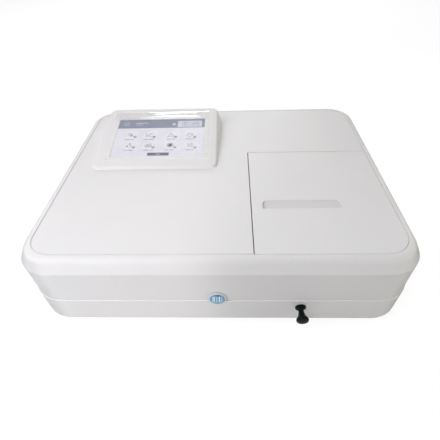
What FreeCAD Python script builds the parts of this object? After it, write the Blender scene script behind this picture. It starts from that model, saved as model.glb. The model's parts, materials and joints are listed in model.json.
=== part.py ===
import FreeCAD, Part
import Sketcher
import os
import math

# Bench spectrophotometer: a wide low moulded case with a flush sample lid, a tilted screen housing,
# a pull rod that shifts the cell carriage, and the optics, lamps and electronics inside.
# Working frame of every sub-part: X to the right from the case centre, Y rearward from the front
# face, Z up from the underside of the base shell. Each finished sub-part is then placed so that
# the origin is on the table, under the middle of the whole object.

doc = FreeCAD.newDocument("Spectrophotometer")
Vector = FreeCAD.Vector
Rotation = FreeCAD.Rotation

# ---------------------------------------------------------------- driving dimensions
# Name endings: _w along X, _l and _d along Y, _h along Z, _t thickness, _r radius, _deg degrees,
# _x, _y and _z a place.
DIMENSIONS = [
    # case shells and the frame's shift to the table
    ("shell_w", 470.0), ("shell_d", 380.0), ("shell_r", 44.0), ("wall", 3.0), ("floor_t", 3.0),
    ("seam_z", 40.2), ("crease_z", 89.8), ("rise", 16.4), ("band_deg", 28.5), ("draft_deg", 2.0),
    ("cover_deg", 1.5), ("shoulder_r", 10.8), ("y_front", -182.3), ("foot_height", 12.0),
    # groove in the top, lid, hinge and finger pocket
    ("groove_in", 16.35), ("groove_w", 1.1), ("groove_d", 0.6), ("groove_r", 30.0),
    ("lid_edge", 0.4), ("lid_gap_x", 42.9), ("lid_gap_w", 1.15), ("lid_rear_y", 223.7),
    ("lid_rear_gap", 0.2), ("lid_depth", 7.6), ("lid_t", 3.0), ("tray_z", 98.2), ("open_z", 95.2),
    ("barrel_r", 1.4), ("pin_r", 0.75), ("run_fit", 0.05),
    ("pocket_x", 57.6), ("pocket_w", 98.2), ("pocket_y", 92.4), ("pocket_l", 16.2),
    ("pocket_deep", 5.4),
    # screen housing and its window
    ("screen_cx", -95.5), ("screen_y", 184.0), ("screen_len", 137.0), ("screen_lip", 4.0),
    ("screen_deg", 10.0), ("view_w", 141.0), ("view_l", 91.0), ("view_cy", 247.9),
    # sample tub, light beam, pull rod, cells and carriage
    ("tub_x", 56.0), ("tub_w", 130.0), ("tub_y", 36.0), ("tub_l", 160.0), ("tub_t", 2.0),
    ("tub_z", 18.0), ("beam_y", 100.0), ("beam_z", 49.0), ("rod_x", 101.0), ("rod_z", 26.6),
    ("guide_z", 30.0), ("rod_r", 3.0), ("cell_pitch", 16.0), ("cell_well", 12.8),
    ("carriage_w", 22.0), ("carriage_l", 68.0),
    ("bush_r", 6.65), ("bush_body_r", 5.0), ("bush_face", 1.9), ("bush_seat", 0.47),
    ("knob_front", 19.4), ("knob_r", 7.5),
    # optical plate, monochromator, lamp house, filter wheel and grating
    ("plate_z", 12.0), ("plate_t", 6.0), ("plate_w", 444.0), ("plate_y", 55.0), ("plate_l", 190.0),
    ("mono_x", -125.0), ("mono_w", 153.0), ("mono_y", 62.0), ("mono_l", 176.0), ("mono_h", 62.0),
    ("mono_t", 4.0), ("lamp_x", -224.0), ("lamp_w", 58.0), ("lamp_y", 122.0), ("lamp_l", 118.0),
    ("lamp_h", 74.0), ("source_y", 185.0), ("wheel_r", 25.0), ("wheel_hole_r", 4.0),
    ("wheel_pitch_r", 17.0), ("wheel_x", -140.0), ("grating_x", -85.0), ("grating_y", 140.0),
    # rear panel and what it carries
    ("panel_w", 268.0), ("panel_h", 45.0), ("panel_z", 43.5), ("panel_t", 2.0),
    ("fan_x", -105.0), ("fan_size", 40.0), ("fan_z", 66.0), ("inlet_x", 100.0),
    ("switch_x", 62.0), ("serial_x", 5.0), ("usb_x", -45.0), ("port_z", 66.0),
    # case screw bosses and feet
    ("boss_r", 5.5), ("screw_r", 1.95), ("screw_bore", 2.0), ("boss_x", 203.0),
    ("boss_front", 32.0), ("boss_rear", 348.0), ("foot_r", 11.0), ("foot_x", 190.0),
    ("foot_front", 52.0), ("foot_rear", 328.0),
]
ARITHMETIC = {
    "+": lambda left, right: left + right,
    "-": lambda left, right: left - right,
    "*": lambda left, right: left * right,
    "/": lambda left, right: left / right,
}


class Length:
    """A number that also carries its spreadsheet formula; linked if that refers to the sheet."""

    def __init__(self, value, formula=None):
        self.value = float(value)
        self.formula = formula or ("%.6f" % self.value).rstrip("0").rstrip(".")
        self.linked = formula is not None

    @staticmethod
    def of(number):
        return number if isinstance(number, Length) else Length(number)

    __add__ = lambda self, other: combine(self, "+", other)
    __radd__ = lambda self, other: combine(other, "+", self)
    __sub__ = lambda self, other: combine(self, "-", other)
    __rsub__ = lambda self, other: combine(other, "-", self)
    __mul__ = lambda self, other: combine(self, "*", other)
    __rmul__ = lambda self, other: combine(other, "*", self)
    __truediv__ = lambda self, other: combine(self, "/", other)
    __neg__ = lambda self: combine(0.0, "-", self)


def combine(left, sign, right):
    left, right = Length.of(left), Length.of(right)
    value = ARITHMETIC[sign](left.value, right.value)
    result = Length(value, "(%s %s %s)" % (left.formula, sign, right.formula))
    result.linked = left.linked or right.linked
    return result


class Dimensions:
    """Holds each driving dimension as a Length."""


dim = Dimensions()
sheet = doc.addObject("Spreadsheet::Sheet", "Dims")
for row, (alias, number) in enumerate(DIMENSIONS, start=1):
    sheet.set("A%d" % row, alias)
    sheet.set("B%d" % row, repr(number))
    sheet.setAlias("B%d" % row, alias)
    setattr(dim, alias, Length(number, "Dims.%s" % alias))
doc.recompute()


# ---------------------------------------------------------------- solids and booleans
# The direction in which a piece's own Z axis points
TURNS = {
    "z": Rotation(),
    "y": Rotation(Vector(1, 0, 0), -90),
    "x": Rotation(Vector(0, 1, 0), 90),
    "-y": Rotation(Vector(1, 0, 0), 90),
}
places = {}        # object name -> x, y, z and turn in the working frame
parts = []         # (name, object) of every finished sub-part
names_given = []


def unique(stem):
    names_given.append(stem)
    return "%s%d" % (stem, len(names_given))


def link(obj, prop, length):
    length = Length.of(length)
    if length.linked:
        obj.setExpression(prop, length.formula)


def put(obj, x, y, z, turn="z"):
    """Places a piece; turn is a key of TURNS or a rotation."""
    x, y, z = Length.of(x), Length.of(y), Length.of(z)
    rotation = TURNS[turn] if isinstance(turn, str) else turn
    obj.Placement = FreeCAD.Placement(Vector(x.value, y.value, z.value), rotation)
    link(obj, "Placement.Base.x", x)
    link(obj, "Placement.Base.y", y)
    link(obj, "Placement.Base.z", z)
    places[obj.Name] = (x, y, z, turn)
    return obj


def part(name, obj):
    """Makes obj the finished sub-part of that name and shifts it to the object's own frame."""
    obj.Label = name
    x, y, z, turn = places.get(obj.Name, (0, 0, 0, "z"))
    put(obj, x, dim.y_front + y, dim.foot_height + z, turn)
    parts.append((name, obj))


def primitive(kind, **sizes):
    obj = doc.addObject("Part::" + kind, unique(kind))
    for prop, size in sizes.items():
        setattr(obj, prop, Length.of(size).value)
        link(obj, prop, size)
    return obj


def box(x, y, z, width, depth, height, turn="z"):
    return put(primitive("Box", Length=width, Width=depth, Height=height), x, y, z, turn)


def cyl(x, y, z, radius, length, turn="z"):
    return put(primitive("Cylinder", Radius=radius, Height=length), x, y, z, turn)


def ball(x, y, z, radius):
    return put(primitive("Sphere", Radius=radius), x, y, z)


def ring(x, y, z, radius, wire_r, turn="z"):
    return put(primitive("Torus", Radius1=radius, Radius2=wire_r), x, y, z, turn)


def grid(firsts, seconds):
    return [(first, second) for first in firsts for second in seconds]


def upright(spots, z, radius, height):
    """Upright cylinders at the (x, y) spots."""
    return [cyl(x, y, z, radius, height) for x, y in spots]


def rearward(spots, y, radius, length):
    """Cylinders along +Y at the (x, z) spots."""
    return [cyl(x, y, z, radius, length, "y") for x, z in spots]


def join(*shapes):
    if len(shapes) == 1:
        return shapes[0]
    obj = doc.addObject("Part::MultiFuse", unique("Join"))
    obj.Shapes = list(shapes)
    obj.Refine = True
    return obj


def cut(base, *tools):
    obj = doc.addObject("Part::Cut", unique("Cut"))
    obj.Base = base
    obj.Tool = join(*tools)
    obj.Refine = True
    return obj


def common(*shapes):
    obj = doc.addObject("Part::MultiCommon", unique("Common"))
    obj.Shapes = list(shapes)
    obj.Refine = True
    return obj


def group(*shapes):
    obj = doc.addObject("Part::Compound", unique("Group"))
    obj.Links = list(shapes)
    return obj


# ---------------------------------------------------------------- sketches and bodies
def body(stem):
    return doc.addObject("PartDesign::Body", unique(stem))


def origin_feature(owner, role):
    return [item for item in owner.Origin.OriginFeatures if item.Role == role][0]


def sketch(owner, role="XY_Plane", offset=0.0):
    result = owner.newObject("Sketcher::SketchObject", unique("Sketch"))
    result.AttachmentSupport = [(origin_feature(owner, role), "")]
    result.MapMode = "FlatFace"
    offset = Length.of(offset)
    result.AttachmentOffset = FreeCAD.Placement(Vector(0, 0, offset.value), Rotation())
    link(result, "AttachmentOffset.Base.z", offset)
    return result


def pin_coordinate(outline, geometry, point, kind, length):
    """Fixes one coordinate; a zero becomes a point on the other axis (-2 is Y, -1 is X)."""
    length = Length.of(length)
    if abs(length.value) < 1e-9:
        axis = -2 if kind == "DistanceX" else -1
        outline.addConstraint(Sketcher.Constraint("PointOnObject", geometry, point, axis))
    else:
        index = outline.addConstraint(
            Sketcher.Constraint(kind, -1, 1, geometry, point, length.value))
        link(outline, "Constraints[%d]" % index, length)


def pin_point(outline, geometry, point, x, y):
    pin_coordinate(outline, geometry, point, "DistanceX", x)
    pin_coordinate(outline, geometry, point, "DistanceY", y)


def pin_radius(outline, geometry, radius):
    index = outline.addConstraint(Sketcher.Constraint("Radius", geometry, radius.value))
    link(outline, "Constraints[%d]" % index, radius)


def add_line(outline, start, end):
    outline.addGeometry(Part.LineSegment(Vector(*start, 0), Vector(*end, 0)), False)


def polygon(outline, points):
    points = [(Length.of(x), Length.of(y)) for x, y in points]
    total = len(points)
    for i in range(total):
        start, end = points[i], points[(i + 1) % total]
        add_line(outline, (start[0].value, start[1].value), (end[0].value, end[1].value))
    for i in range(total):
        outline.addConstraint(Sketcher.Constraint("Coincident", i, 2, (i + 1) % total, 1))
    for i in range(total):
        pin_point(outline, i, 1, *points[i])
    return outline


def circle(outline, x, y, radius):
    x, y, radius = Length.of(x), Length.of(y), Length.of(radius)
    shape = Part.Circle(Vector(x.value, y.value, 0), Vector(0, 0, 1), radius.value)
    geometry = outline.addGeometry(shape, False)
    pin_point(outline, geometry, 3, x, y)
    pin_radius(outline, geometry, radius)
    return outline


def rounded(outline, x1, y1, x2, y2, radius):
    """A rectangle from x1, y1 to x2, y2 with round corners."""
    x1, y1, x2, y2, radius = [Length.of(size) for size in (x1, y1, x2, y2, radius)]
    left, low, right, high, r = x1.value, y1.value, x2.value, y2.value, radius.value
    # sides 0 to 3: low, right, high, left; arcs 4 to 7 follow each side in turn
    add_line(outline, (left + r, low), (right - r, low))
    add_line(outline, (right, low + r), (right, high - r))
    add_line(outline, (right - r, high), (left + r, high))
    add_line(outline, (left, high - r), (left, low + r))
    for x, y, start in ((right - r, low + r, -90), (right - r, high - r, 0),
                        (left + r, high - r, 90), (left + r, low + r, 180)):
        full = Part.Circle(Vector(x, y, 0), Vector(0, 0, 1), r)
        arc = Part.ArcOfCircle(full, math.radians(start), math.radians(start + 90))
        outline.addGeometry(arc, False)
    for i in range(4):
        outline.addConstraint(Sketcher.Constraint("Tangent", i, 2, 4 + i, 1))
        outline.addConstraint(Sketcher.Constraint("Tangent", 4 + i, 2, (i + 1) % 4, 1))
    for i in (0, 2):
        outline.addConstraint(Sketcher.Constraint("Horizontal", i))
        outline.addConstraint(Sketcher.Constraint("Vertical", i + 1))
    for i in (5, 6, 7):
        outline.addConstraint(Sketcher.Constraint("Equal", 4, i))
    pin_radius(outline, 4, radius)
    for side, kind, length in ((1, "DistanceX", x2), (3, "DistanceX", x1),
                               (0, "DistanceY", y1), (2, "DistanceY", y2)):
        pin_coordinate(outline, side, 1, kind, length)
    return outline


def pad(owner, outline, length, down=False, taper=0.0):
    feature = owner.newObject("PartDesign::Pad", unique("Pad"))
    feature.Profile = outline
    feature.Length = Length.of(length).value
    link(feature, "Length", length)
    feature.Reversed = down
    taper = Length.of(taper)
    if taper.value:
        feature.TaperAngle = taper.value
        link(feature, "TaperAngle", taper)
    owner.Tip = feature


def slab(x1, y1, x2, y2, radius, z, height, down=False, taper=0.0):
    """A rounded-rectangle plate whose sketch lies at height z."""
    owner = body("Slab")
    pad(owner, rounded(sketch(owner, "XY_Plane", z), x1, y1, x2, y2, radius), height, down, taper)
    return owner


def prism(role, points, offset, length, down=False):
    """A straight prism, drawn in the named plane at that offset."""
    owner = body("Prism")
    pad(owner, polygon(sketch(owner, role, offset), points), length, down)
    return owner


def turned(points, x, y, z, turn="z"):
    """A turned piece: points are (radius, height) pairs about its own axis."""
    owner = body("Turned")
    outline = polygon(sketch(owner, "XZ_Plane"), points)
    feature = owner.newObject("PartDesign::Revolution", unique("Revolution"))
    feature.Profile = outline
    feature.ReferenceAxis = (outline, ["V_Axis"])
    feature.Angle = 360.0
    owner.Tip = feature
    return put(owner, x, y, z, turn)


def round_edges(owner, radius, test):
    """Rounds the edges of a body that pass the test."""
    doc.recompute()
    last = owner.Tip
    edges = ["Edge%d" % i for i, edge in enumerate(last.Shape.Edges, start=1) if test(edge)]
    if not edges:
        raise RuntimeError("no edge to round on %s" % owner.Name)
    feature = owner.newObject("PartDesign::Fillet", unique("Fillet"))
    feature.Base = (last, edges)
    feature.Radius = Length.of(radius).value
    link(feature, "Radius", radius)
    owner.Tip = feature
    doc.recompute()


def flat_at(z):
    """A test for edges that lie wholly at height z."""
    def test(edge):
        heights = [vertex.Z for vertex in edge.Vertexes]
        heights += [edge.BoundBox.ZMin, edge.BoundBox.ZMax]
        return all(abs(height - z) < 1e-3 for height in heights)
    return test


# ---------------------------------------------------------------- shared places and outlines
top_z = dim.crease_z + dim.rise
half_w = dim.shell_w / 2
rear_y = dim.shell_d
groove_gap = dim.groove_in - dim.groove_w / 2       # case outline to the groove's outer edge
groove_outer_r = dim.groove_r + dim.groove_w / 2

case_spots = grid((-dim.boss_x, dim.boss_x), (dim.boss_front, dim.boss_rear))
foot_spots = grid((-dim.foot_x, dim.foot_x), (dim.foot_front, dim.foot_rear))
plate_spots = grid((-205.0, -60.0, 60.0, 205.0), (66.0, 234.0))
board_spots = grid((-170.0, -20.0), (258.0, 338.0))
screen_spots = grid((dim.screen_cx - 84.0, dim.screen_cx + 84.0), (204.0, 306.0))
# (x, z) places on the rear face
panel_spots = grid((-132.0, 132.0), (47.0, 85.0))
fan_spots = grid((dim.fan_x - 16.0, dim.fan_x + 16.0), (dim.fan_z - 16.0, dim.fan_z + 16.0))
inlet_spots = grid((dim.inlet_x - 20.0, dim.inlet_x + 20.0), (dim.port_z,))


def inset_plan(inset, radius):
    """x1, y1, x2, y2 and corner radius of the case outline moved inward."""
    return -half_w + inset, inset, half_w - inset, dim.shell_d - inset, radius


def case_plan(inset):
    return inset_plan(inset, dim.shell_r - inset)


def groove_plan(inset):
    """The outline of the groove's outer edge, moved inward."""
    return inset_plan(groove_gap + inset, groove_outer_r - inset)


def tub_slab(margin, radius, z, height):
    """A plate on the outline of the sample tub, grown by the margin."""
    return slab(dim.tub_x - margin, dim.tub_y - margin, dim.tub_x + dim.tub_w + margin,
                dim.tub_y + dim.tub_l + margin, radius, z, height)


# ---------------------------------------------------------------- base shell
post_z = 2.0              # posts start inside the floor
slot_pitch = 10.0
shell_outer = slab(*case_plan(0.0), dim.seam_z, dim.seam_z, True, -dim.draft_deg)
round_edges(shell_outer, 1.6, flat_at(0.0))
round_edges(shell_outer, 0.5, flat_at(dim.seam_z.value))
shell_inner = slab(*case_plan(dim.wall), dim.seam_z, dim.seam_z - dim.floor_t, True,
                   -dim.draft_deg)
posts = [
    *upright(case_spots, post_z, dim.boss_r, dim.seam_z - post_z),
    *upright(foot_spots, post_z, 5.0, 6.0),
    *upright(plate_spots, post_z, 6.0, 6.0),
    *upright(board_spots, post_z, 3.0, 18.0),
]
bores = [
    # clearance holes and head recesses of the case screws
    *upright(case_spots, -1.0, 2.2, dim.seam_z + 2.0),
    *upright(case_spots, -1.0, 4.0, 7.0),
    *upright(foot_spots, -1.0, dim.screw_bore, 10.0),
    *upright(plate_spots, 4.0, dim.screw_bore, 6.0),
    # hole of the rod bush, with a shallow seat for its flange
    cyl(dim.rod_x, -2.0, dim.rod_z, dim.bush_body_r, 12.0, "y"),
    cyl(dim.rod_x, -2.0, dim.rod_z, dim.bush_r + 0.1, dim.bush_seat + 2.0, "y"),
    *upright(board_spots, 8.0, 1.2, 14.0),
    # slots in the floor behind the main board
    *[box(-176.0 + slot_pitch * k, 352.0, -1.0, 4.0, 18.0, 6.0) for k in range(9)],
]
part("base_shell", cut(join(cut(shell_outer, shell_inner), *posts), *bores))


# ---------------------------------------------------------------- top cover
def cover_form(inset, above, below):
    """The cover's outer or inner form: a sloped band above the crease, a skirt below it."""
    owner = body("Cover")
    outline = rounded(sketch(owner, "XY_Plane", dim.crease_z), *case_plan(inset))
    pad(owner, outline, above, False, -dim.band_deg)
    outline = rounded(sketch(owner, "XY_Plane", dim.crease_z), *case_plan(inset))
    pad(owner, outline, below, True, -dim.cover_deg)
    return owner


cover_outer = cover_form(0.0, dim.rise, dim.crease_z - dim.seam_z)
round_edges(cover_outer, dim.shoulder_r, flat_at(top_z.value))
round_edges(cover_outer, 0.8, flat_at(dim.crease_z.value))
cover_inner = cover_form(dim.wall, dim.rise - dim.wall, dim.crease_z - dim.seam_z + 2.0)

# sunken tray for the lid, with the sample opening through its floor
recess_x = dim.lid_gap_x - dim.lid_gap_w / 2
recess_rear = dim.lid_rear_y + dim.lid_rear_gap
tray_x = recess_x - dim.wall
tray_h = 9.0
tray = common(
    slab(*groove_plan(-dim.wall), dim.open_z, tray_h),
    box(tray_x, 0, dim.open_z, 200.0, recess_rear + dim.wall, tray_h))
recess = common(
    slab(*groove_plan(0.0), dim.tray_z, 20.0),
    box(recess_x, 0, dim.tray_z, 200.0, recess_rear, 20.0))
opening = tub_slab(-dim.tub_t, 6.0, 80.0, 40.0)
groove = cut(
    slab(*groove_plan(0.0), top_z - dim.groove_d, 5.0),
    slab(*groove_plan(dim.groove_w), top_z - 6.0, 20.0))

# hinge bosses to the left and right of the tray, and the bores of the hinge pins
hinge_y = dim.lid_rear_y - dim.barrel_r
hinge_z = top_z - dim.barrel_r
lid_inset = groove_gap + dim.lid_edge
lid_x1 = dim.lid_gap_x + dim.lid_gap_w / 2
lid_x2 = half_w - lid_inset
left_boss_x = 30.0
left_pin_x = 33.0
boss_w = 4.6              # along X, right boss only
boss_l = 10.0
boss_h = 4.6 + dim.barrel_r
adds = [
    tray,
    box(left_boss_x, hinge_y - 5.0, hinge_z - 5.0, tray_x + 1.0 - left_boss_x, boss_l, boss_h),
    box(half_w - groove_gap + 2.0, hinge_y - 5.0, hinge_z - 5.0, boss_w, boss_l, boss_h),
    # columns of the case screws, under the top
    *upright(case_spots, dim.seam_z, dim.boss_r, top_z - 1.5 - dim.seam_z),
    # flat seat of the rear panel
    box(-137.0, rear_y - 4.2, 42.0, 274.0, 4.2, 47.6),
    # lip that drops inside the base shell
    cut(slab(*case_plan(3.4), 38.6, 4.0), slab(*case_plan(4.9), 37.0, 8.0)),
]
subs = [
    recess, opening, groove,
    cyl(left_pin_x, hinge_y, hinge_z, dim.pin_r, 12.0, "x"),
    cyl(lid_x2, hinge_y, hinge_z, dim.pin_r, 6.5, "x"),
    *upright(case_spots, dim.seam_z - 1.0, dim.screw_bore, 22.0),
    # opening behind the rear panel
    box(-130.0, rear_y - 10.0, 45.5, 260.0, 12.0, 41.0),
    # slots in the rear wall, to the left of the panel
    *[box(-210.0 + 8.0 * k, rear_y - 12.0, 52.0, 3.5, 16.0, 28.0) for k in range(8)],
    # slot in the top for the display cable
    box(dim.screen_cx - 22.0, 292.0, top_z - 8.0, 44.0, 10.0, 12.0),
    *upright(screen_spots, top_z - 8.0, 1.6, 12.0),
    *rearward(panel_spots, rear_y - 6.0, 1.3, 8.0),
]
part("top_cover", cut(join(cut(cover_outer, cover_inner), *adds), *subs))

# ---------------------------------------------------------------- sample lid
rim = 2.5                 # width of the lid's downturned rim
lid_z = top_z - dim.lid_depth
lid_block = common(
    slab(*groove_plan(dim.lid_edge), lid_z, dim.lid_depth),
    box(lid_x1, lid_inset, lid_z, 190.0, hinge_y - lid_inset, dim.lid_depth))
barrel = cyl(lid_x1, hinge_y, hinge_z, dim.barrel_r, lid_x2 - lid_x1, "x")
hollow_x1, hollow_y1, hollow_x2, _, hollow_r = groove_plan(dim.lid_edge + rim)
hollow = common(
    slab(hollow_x1, hollow_y1, hollow_x2, dim.shell_d, hollow_r, lid_z - 1.0,
         dim.lid_depth - dim.lid_t + 1.0),
    box(lid_x1 + rim, lid_inset + rim, lid_z - 1.0, 190.0, hinge_y - lid_inset - rim - 3.4, 8.0))
# finger pocket: upright front wall, floor that rises to the rear edge
pocket_rear = dim.pocket_y + dim.pocket_l
pocket_floor = top_z - dim.pocket_deep
bowl = box(dim.pocket_x - 2.0, dim.pocket_y - 2.0, pocket_floor - 2.0, dim.pocket_w + 4.0,
           dim.pocket_l + 4.5, dim.pocket_deep)
pocket_side = [            # y, z
    (dim.pocket_y, top_z + 3.0), (dim.pocket_y, pocket_floor + 0.8),
    (dim.pocket_y + 0.8, pocket_floor), (dim.pocket_y + 5.6, pocket_floor),
    (pocket_rear - 1.0, top_z - 0.9), (pocket_rear, top_z), (pocket_rear, top_z + 3.0),
]
finger_pocket = common(
    prism("YZ_Plane", pocket_side, dim.pocket_x, dim.pocket_w),
    slab(dim.pocket_x, dim.pocket_y - 14.0, dim.pocket_x + dim.pocket_w, pocket_rear + 0.4, 8.0,
         top_z - 10.0, 20.0))
pin_bores = [cyl(x, hinge_y, hinge_z, dim.pin_r + dim.run_fit, 11.0, "x")
             for x in (lid_x1 - 1.0, lid_x2 - 10.0)]
part("sample_lid", cut(join(cut(join(lid_block, barrel), hollow), bowl),
                       finger_pocket, *pin_bores))

# hinge pins: one each side, held in the cover, turning in the lid
part("lid_hinge_pins", group(
    cyl(left_pin_x, hinge_y, hinge_z, dim.pin_r, lid_x1 + 8.0 - left_pin_x, "x"),
    cyl(lid_x2 - 8.0, hinge_y, hinge_z, dim.pin_r, 14.0, "x")))

# light seal around the sample opening
part("lid_seal", cut(tub_slab(4.0, 9.0, dim.tray_z, 4.9),
                     tub_slab(0.5, 6.0, dim.tray_z - 1.0, 8.0)))

# ---------------------------------------------------------------- screen housing
tilt_deg = dim.screen_deg.value
TILT = Rotation(Vector(1, 0, 0), tilt_deg)
TILT_TAN = math.tan(math.radians(tilt_deg))
TILT_COS = math.cos(math.radians(tilt_deg))
TILT_SIN = math.sin(math.radians(tilt_deg))


def wedge(inset, drop, base_drop):
    """The housing's outer or inner form: a flared base and a tilted top, joined by flat sides."""
    foot_front = dim.screen_y.value - 2.4
    foot_rear = dim.screen_y.value + dim.screen_len.value + 8.0
    centre_x = dim.screen_cx.value

    def pair(y, z):
        """Left and right corner at depth y and height z above the case top."""
        flare = 6.0 * (y - foot_front) / (foot_rear - foot_front)
        half = 92.0 + flare - 0.275 * z - inset
        return [Vector(centre_x + side * half, y, top_z.value + z) for side in (-1, 1)]

    corners = []
    for y in (foot_front + inset, foot_rear - inset):
        corners += pair(y, -base_drop)
    for along in (inset, dim.screen_len.value - inset):
        corners += pair(dim.screen_y.value + along,
                        dim.screen_lip.value + along * TILT_TAN - drop)
    faces = []
    # bottom, top, front, rear, left, right
    for loop in ((0, 2, 3, 1), (4, 5, 7, 6), (0, 1, 5, 4), (2, 6, 7, 3), (0, 4, 6, 2),
                 (1, 3, 7, 5)):
        faces.append(Part.Face(Part.makePolygon([corners[i] for i in loop + loop[:1]])))
    solid = Part.makeSolid(Part.makeShell(faces))
    solid.fix(1e-6, 1e-6, 1e-6)
    return solid


def is_corner(edge):
    """True for the four edges that climb from the base to the top."""
    start, end = edge.Vertexes[0], edge.Vertexes[1]
    return abs(start.Z - end.Z) > 2.0 and abs(start.Y - end.Y) < 10.0


def is_top_rim(edge):
    """True for edges that lie in the tilted top."""
    points = [vertex.Point for vertex in edge.Vertexes]
    points.append(edge.valueAt((edge.FirstParameter + edge.LastParameter) / 2))
    return all(abs(point.z - top_z.value - dim.screen_lip.value
                   - (point.y - dim.screen_y.value) * TILT_TAN) < 0.02 for point in points)


housing = wedge(0.0, 0.0, 0.0)
housing = housing.makeFillet(10.0, [edge for edge in housing.Edges if is_corner(edge)])
housing = housing.makeFillet(2.5, [edge for edge in housing.Edges if is_top_rim(edge)])
wedge_outer = doc.addObject("Part::Feature", "WedgeOuter")
wedge_outer.Shape = housing
wedge_inner = doc.addObject("Part::Feature", "WedgeInner")
wedge_inner.Shape = wedge(2.8, 2.54, 1.0)


def tilted(x, along, up, width, depth, height):
    """A block in the tilted frame: along runs up the slope from the top's front edge, up is
    the height above the top surface."""
    return box(x, dim.screen_y + along * TILT_COS - up * TILT_SIN,
               top_z + dim.screen_lip + along * TILT_SIN + up * TILT_COS,
               width, depth, height, TILT)


view_x = dim.screen_cx - dim.view_w / 2
view_mid = (dim.view_cy - dim.screen_y) / TILT_COS
view_along = view_mid - dim.view_l / 2


def view_plate(inset, up, thickness):
    """A tilted plate on the outline of the window, moved inward."""
    return tilted(view_x + inset, view_along + inset, up, dim.view_w - 2 * inset,
                  dim.view_l - 2 * inset, thickness)


window = view_plate(0.0, -6.0, 10.0)
screw_posts = [cyl(x, y, top_z, 3.4, (y - dim.screen_y) * TILT_TAN + 2.5)
               for x, y in screen_spots]
screw_holes = [cyl(x, y, top_z - 1.0, 1.3, (y - dim.screen_y) * TILT_TAN + 1.2)
               for x, y in screen_spots]
part("screen_housing", cut(join(cut(wedge_outer, wedge_inner), *screw_posts),
                           window, *screw_holes))
part("touch_glass", view_plate(0.2, -1.7, 1.2))
part("screen_gasket", cut(view_plate(0.3, -2.5, 0.8), view_plate(3.0, -3.5, 3.0)))
part("display_module", tilted(view_x - 3.0, view_along - 2.0, -6.1, dim.view_w + 6.0,
                              dim.view_l + 4.0, 3.5))
part("screen_film", tilted(dim.screen_cx - 78.0, view_mid - 50.0, 0.05, 156.0, 113.0, 0.2))
head_h = 2.2
part("screen_screws", group(*[
    join(cyl(x, y, top_z - dim.wall - head_h, 2.6, head_h), cyl(x, y, top_z - 3.5, 1.25, 5.0))
    for x, y in screen_spots]))

# flat cable from the display down to a connector over the main board
cable_x = dim.screen_cx - 15.0
cable_w = 30.0
cable_t = 0.8
part("display_cable", join(
    box(cable_x, 293.5, 30.0, cable_w, cable_t, 92.0),
    box(cable_x, 290.0, 121.2, cable_w, 4.3, cable_t),
    box(cable_x, 293.5, 29.2, cable_w, 14.0, cable_t),
    box(dim.screen_cx - 17.0, 303.0, 22.0, 34.0, 6.0, 7.2)))

# ---------------------------------------------------------------- badge, bush, knob and rod
badge_profile = [          # radius, height in front of the case
    (0.0, 0.0), (11.0, 0.0), (11.0, 0.6), (10.2, 1.0), (6.0, 1.4), (0.0, 1.55),
]
part("front_badge", turned(badge_profile, 0.5, 0.0, 45.2, "-y"))

bush_bore_r = dim.rod_r + dim.run_fit
bush_profile = [           # radius, height in front of the case
    (bush_bore_r, -12.0), (dim.bush_body_r, -12.0), (dim.bush_body_r, -dim.bush_seat),
    (dim.bush_r, -dim.bush_seat), (dim.bush_r, dim.bush_face - 1.3),
    (dim.bush_r - 0.5, dim.bush_face - 0.75), (dim.bush_r - 1.9, dim.bush_face),
    (dim.rod_r + 0.5, dim.bush_face), (bush_bore_r, dim.bush_face - 0.5),
]
part("rod_bush", turned(bush_profile, dim.rod_x, 0.0, dim.rod_z, "-y"))

nut_corner_r = 8.08
hexagon = [(dim.rod_x + nut_corner_r * math.cos(math.radians(60 * k)),
            dim.rod_z + nut_corner_r * math.sin(math.radians(60 * k))) for k in range(6)]
part("bush_nut", cut(prism("XZ_Plane", hexagon, -3.9, 5.0, down=True),
                     cyl(dim.rod_x, 2.0, dim.rod_z, dim.bush_body_r, 9.0, "y")))

# knob: a slim neck that swells to a domed end, turned about the rod's axis
knob_gap = 0.4             # between the bush and the knob
neck_r = 3.6
stub_r = 2.0               # the rod's thin end, inside the knob
stub_l = 12.0
knob_l = dim.knob_front.value - dim.bush_face.value - knob_gap
knob_profile = [           # radius for a 7.5 mm knob, height above its rear end
    (neck_r, 0.0), (3.38, 2.2), (3.45, 4.0), (3.85, 6.2), (4.5, 8.6), (5.35, 10.4), (6.35, 12.0),
    (7.2, 13.5), (7.5, 14.7), (7.15, 15.8), (5.9, 16.55), (3.2, knob_l - 0.12), (0.0, knob_l),
]
knob_scale = dim.knob_r.value / 7.5
curve = Part.BSplineCurve()
curve.interpolate([Vector(radius * knob_scale, 0, height) for radius, height in knob_profile],
                  InitialTangent=Vector(-0.2, 0, 1), FinalTangent=Vector(-1, 0, 0))
bore_path = [Vector(0, 0, knob_l), Vector(0, 0, stub_l), Vector(stub_r, 0, stub_l),
             Vector(stub_r, 0, 0), Vector(neck_r * knob_scale, 0, 0)]
bore_lines = [Part.makeLine(start, end) for start, end in zip(bore_path, bore_path[1:])]
knob_wire = Part.Wire([curve.toShape()] + bore_lines)
knob = doc.addObject("Part::Feature", "KnobShape")
knob.Shape = Part.Face(knob_wire).revolve(Vector(0, 0, 0), Vector(0, 0, 1), 360)
knob_y = -dim.bush_face - knob_gap
put(knob, dim.rod_x, knob_y, dim.rod_z, "-y")
part("pull_knob", knob)

carriage_y = dim.beam_y - 10.0
rod_grip = 12.0            # length of rod held in the carriage
part("pull_rod", join(
    cyl(dim.rod_x, knob_y, dim.rod_z, dim.rod_r, carriage_y + rod_grip - knob_y, "y"),
    cyl(dim.rod_x, knob_y - stub_l, dim.rod_z, stub_r, stub_l + 1.0, "y")))

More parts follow.
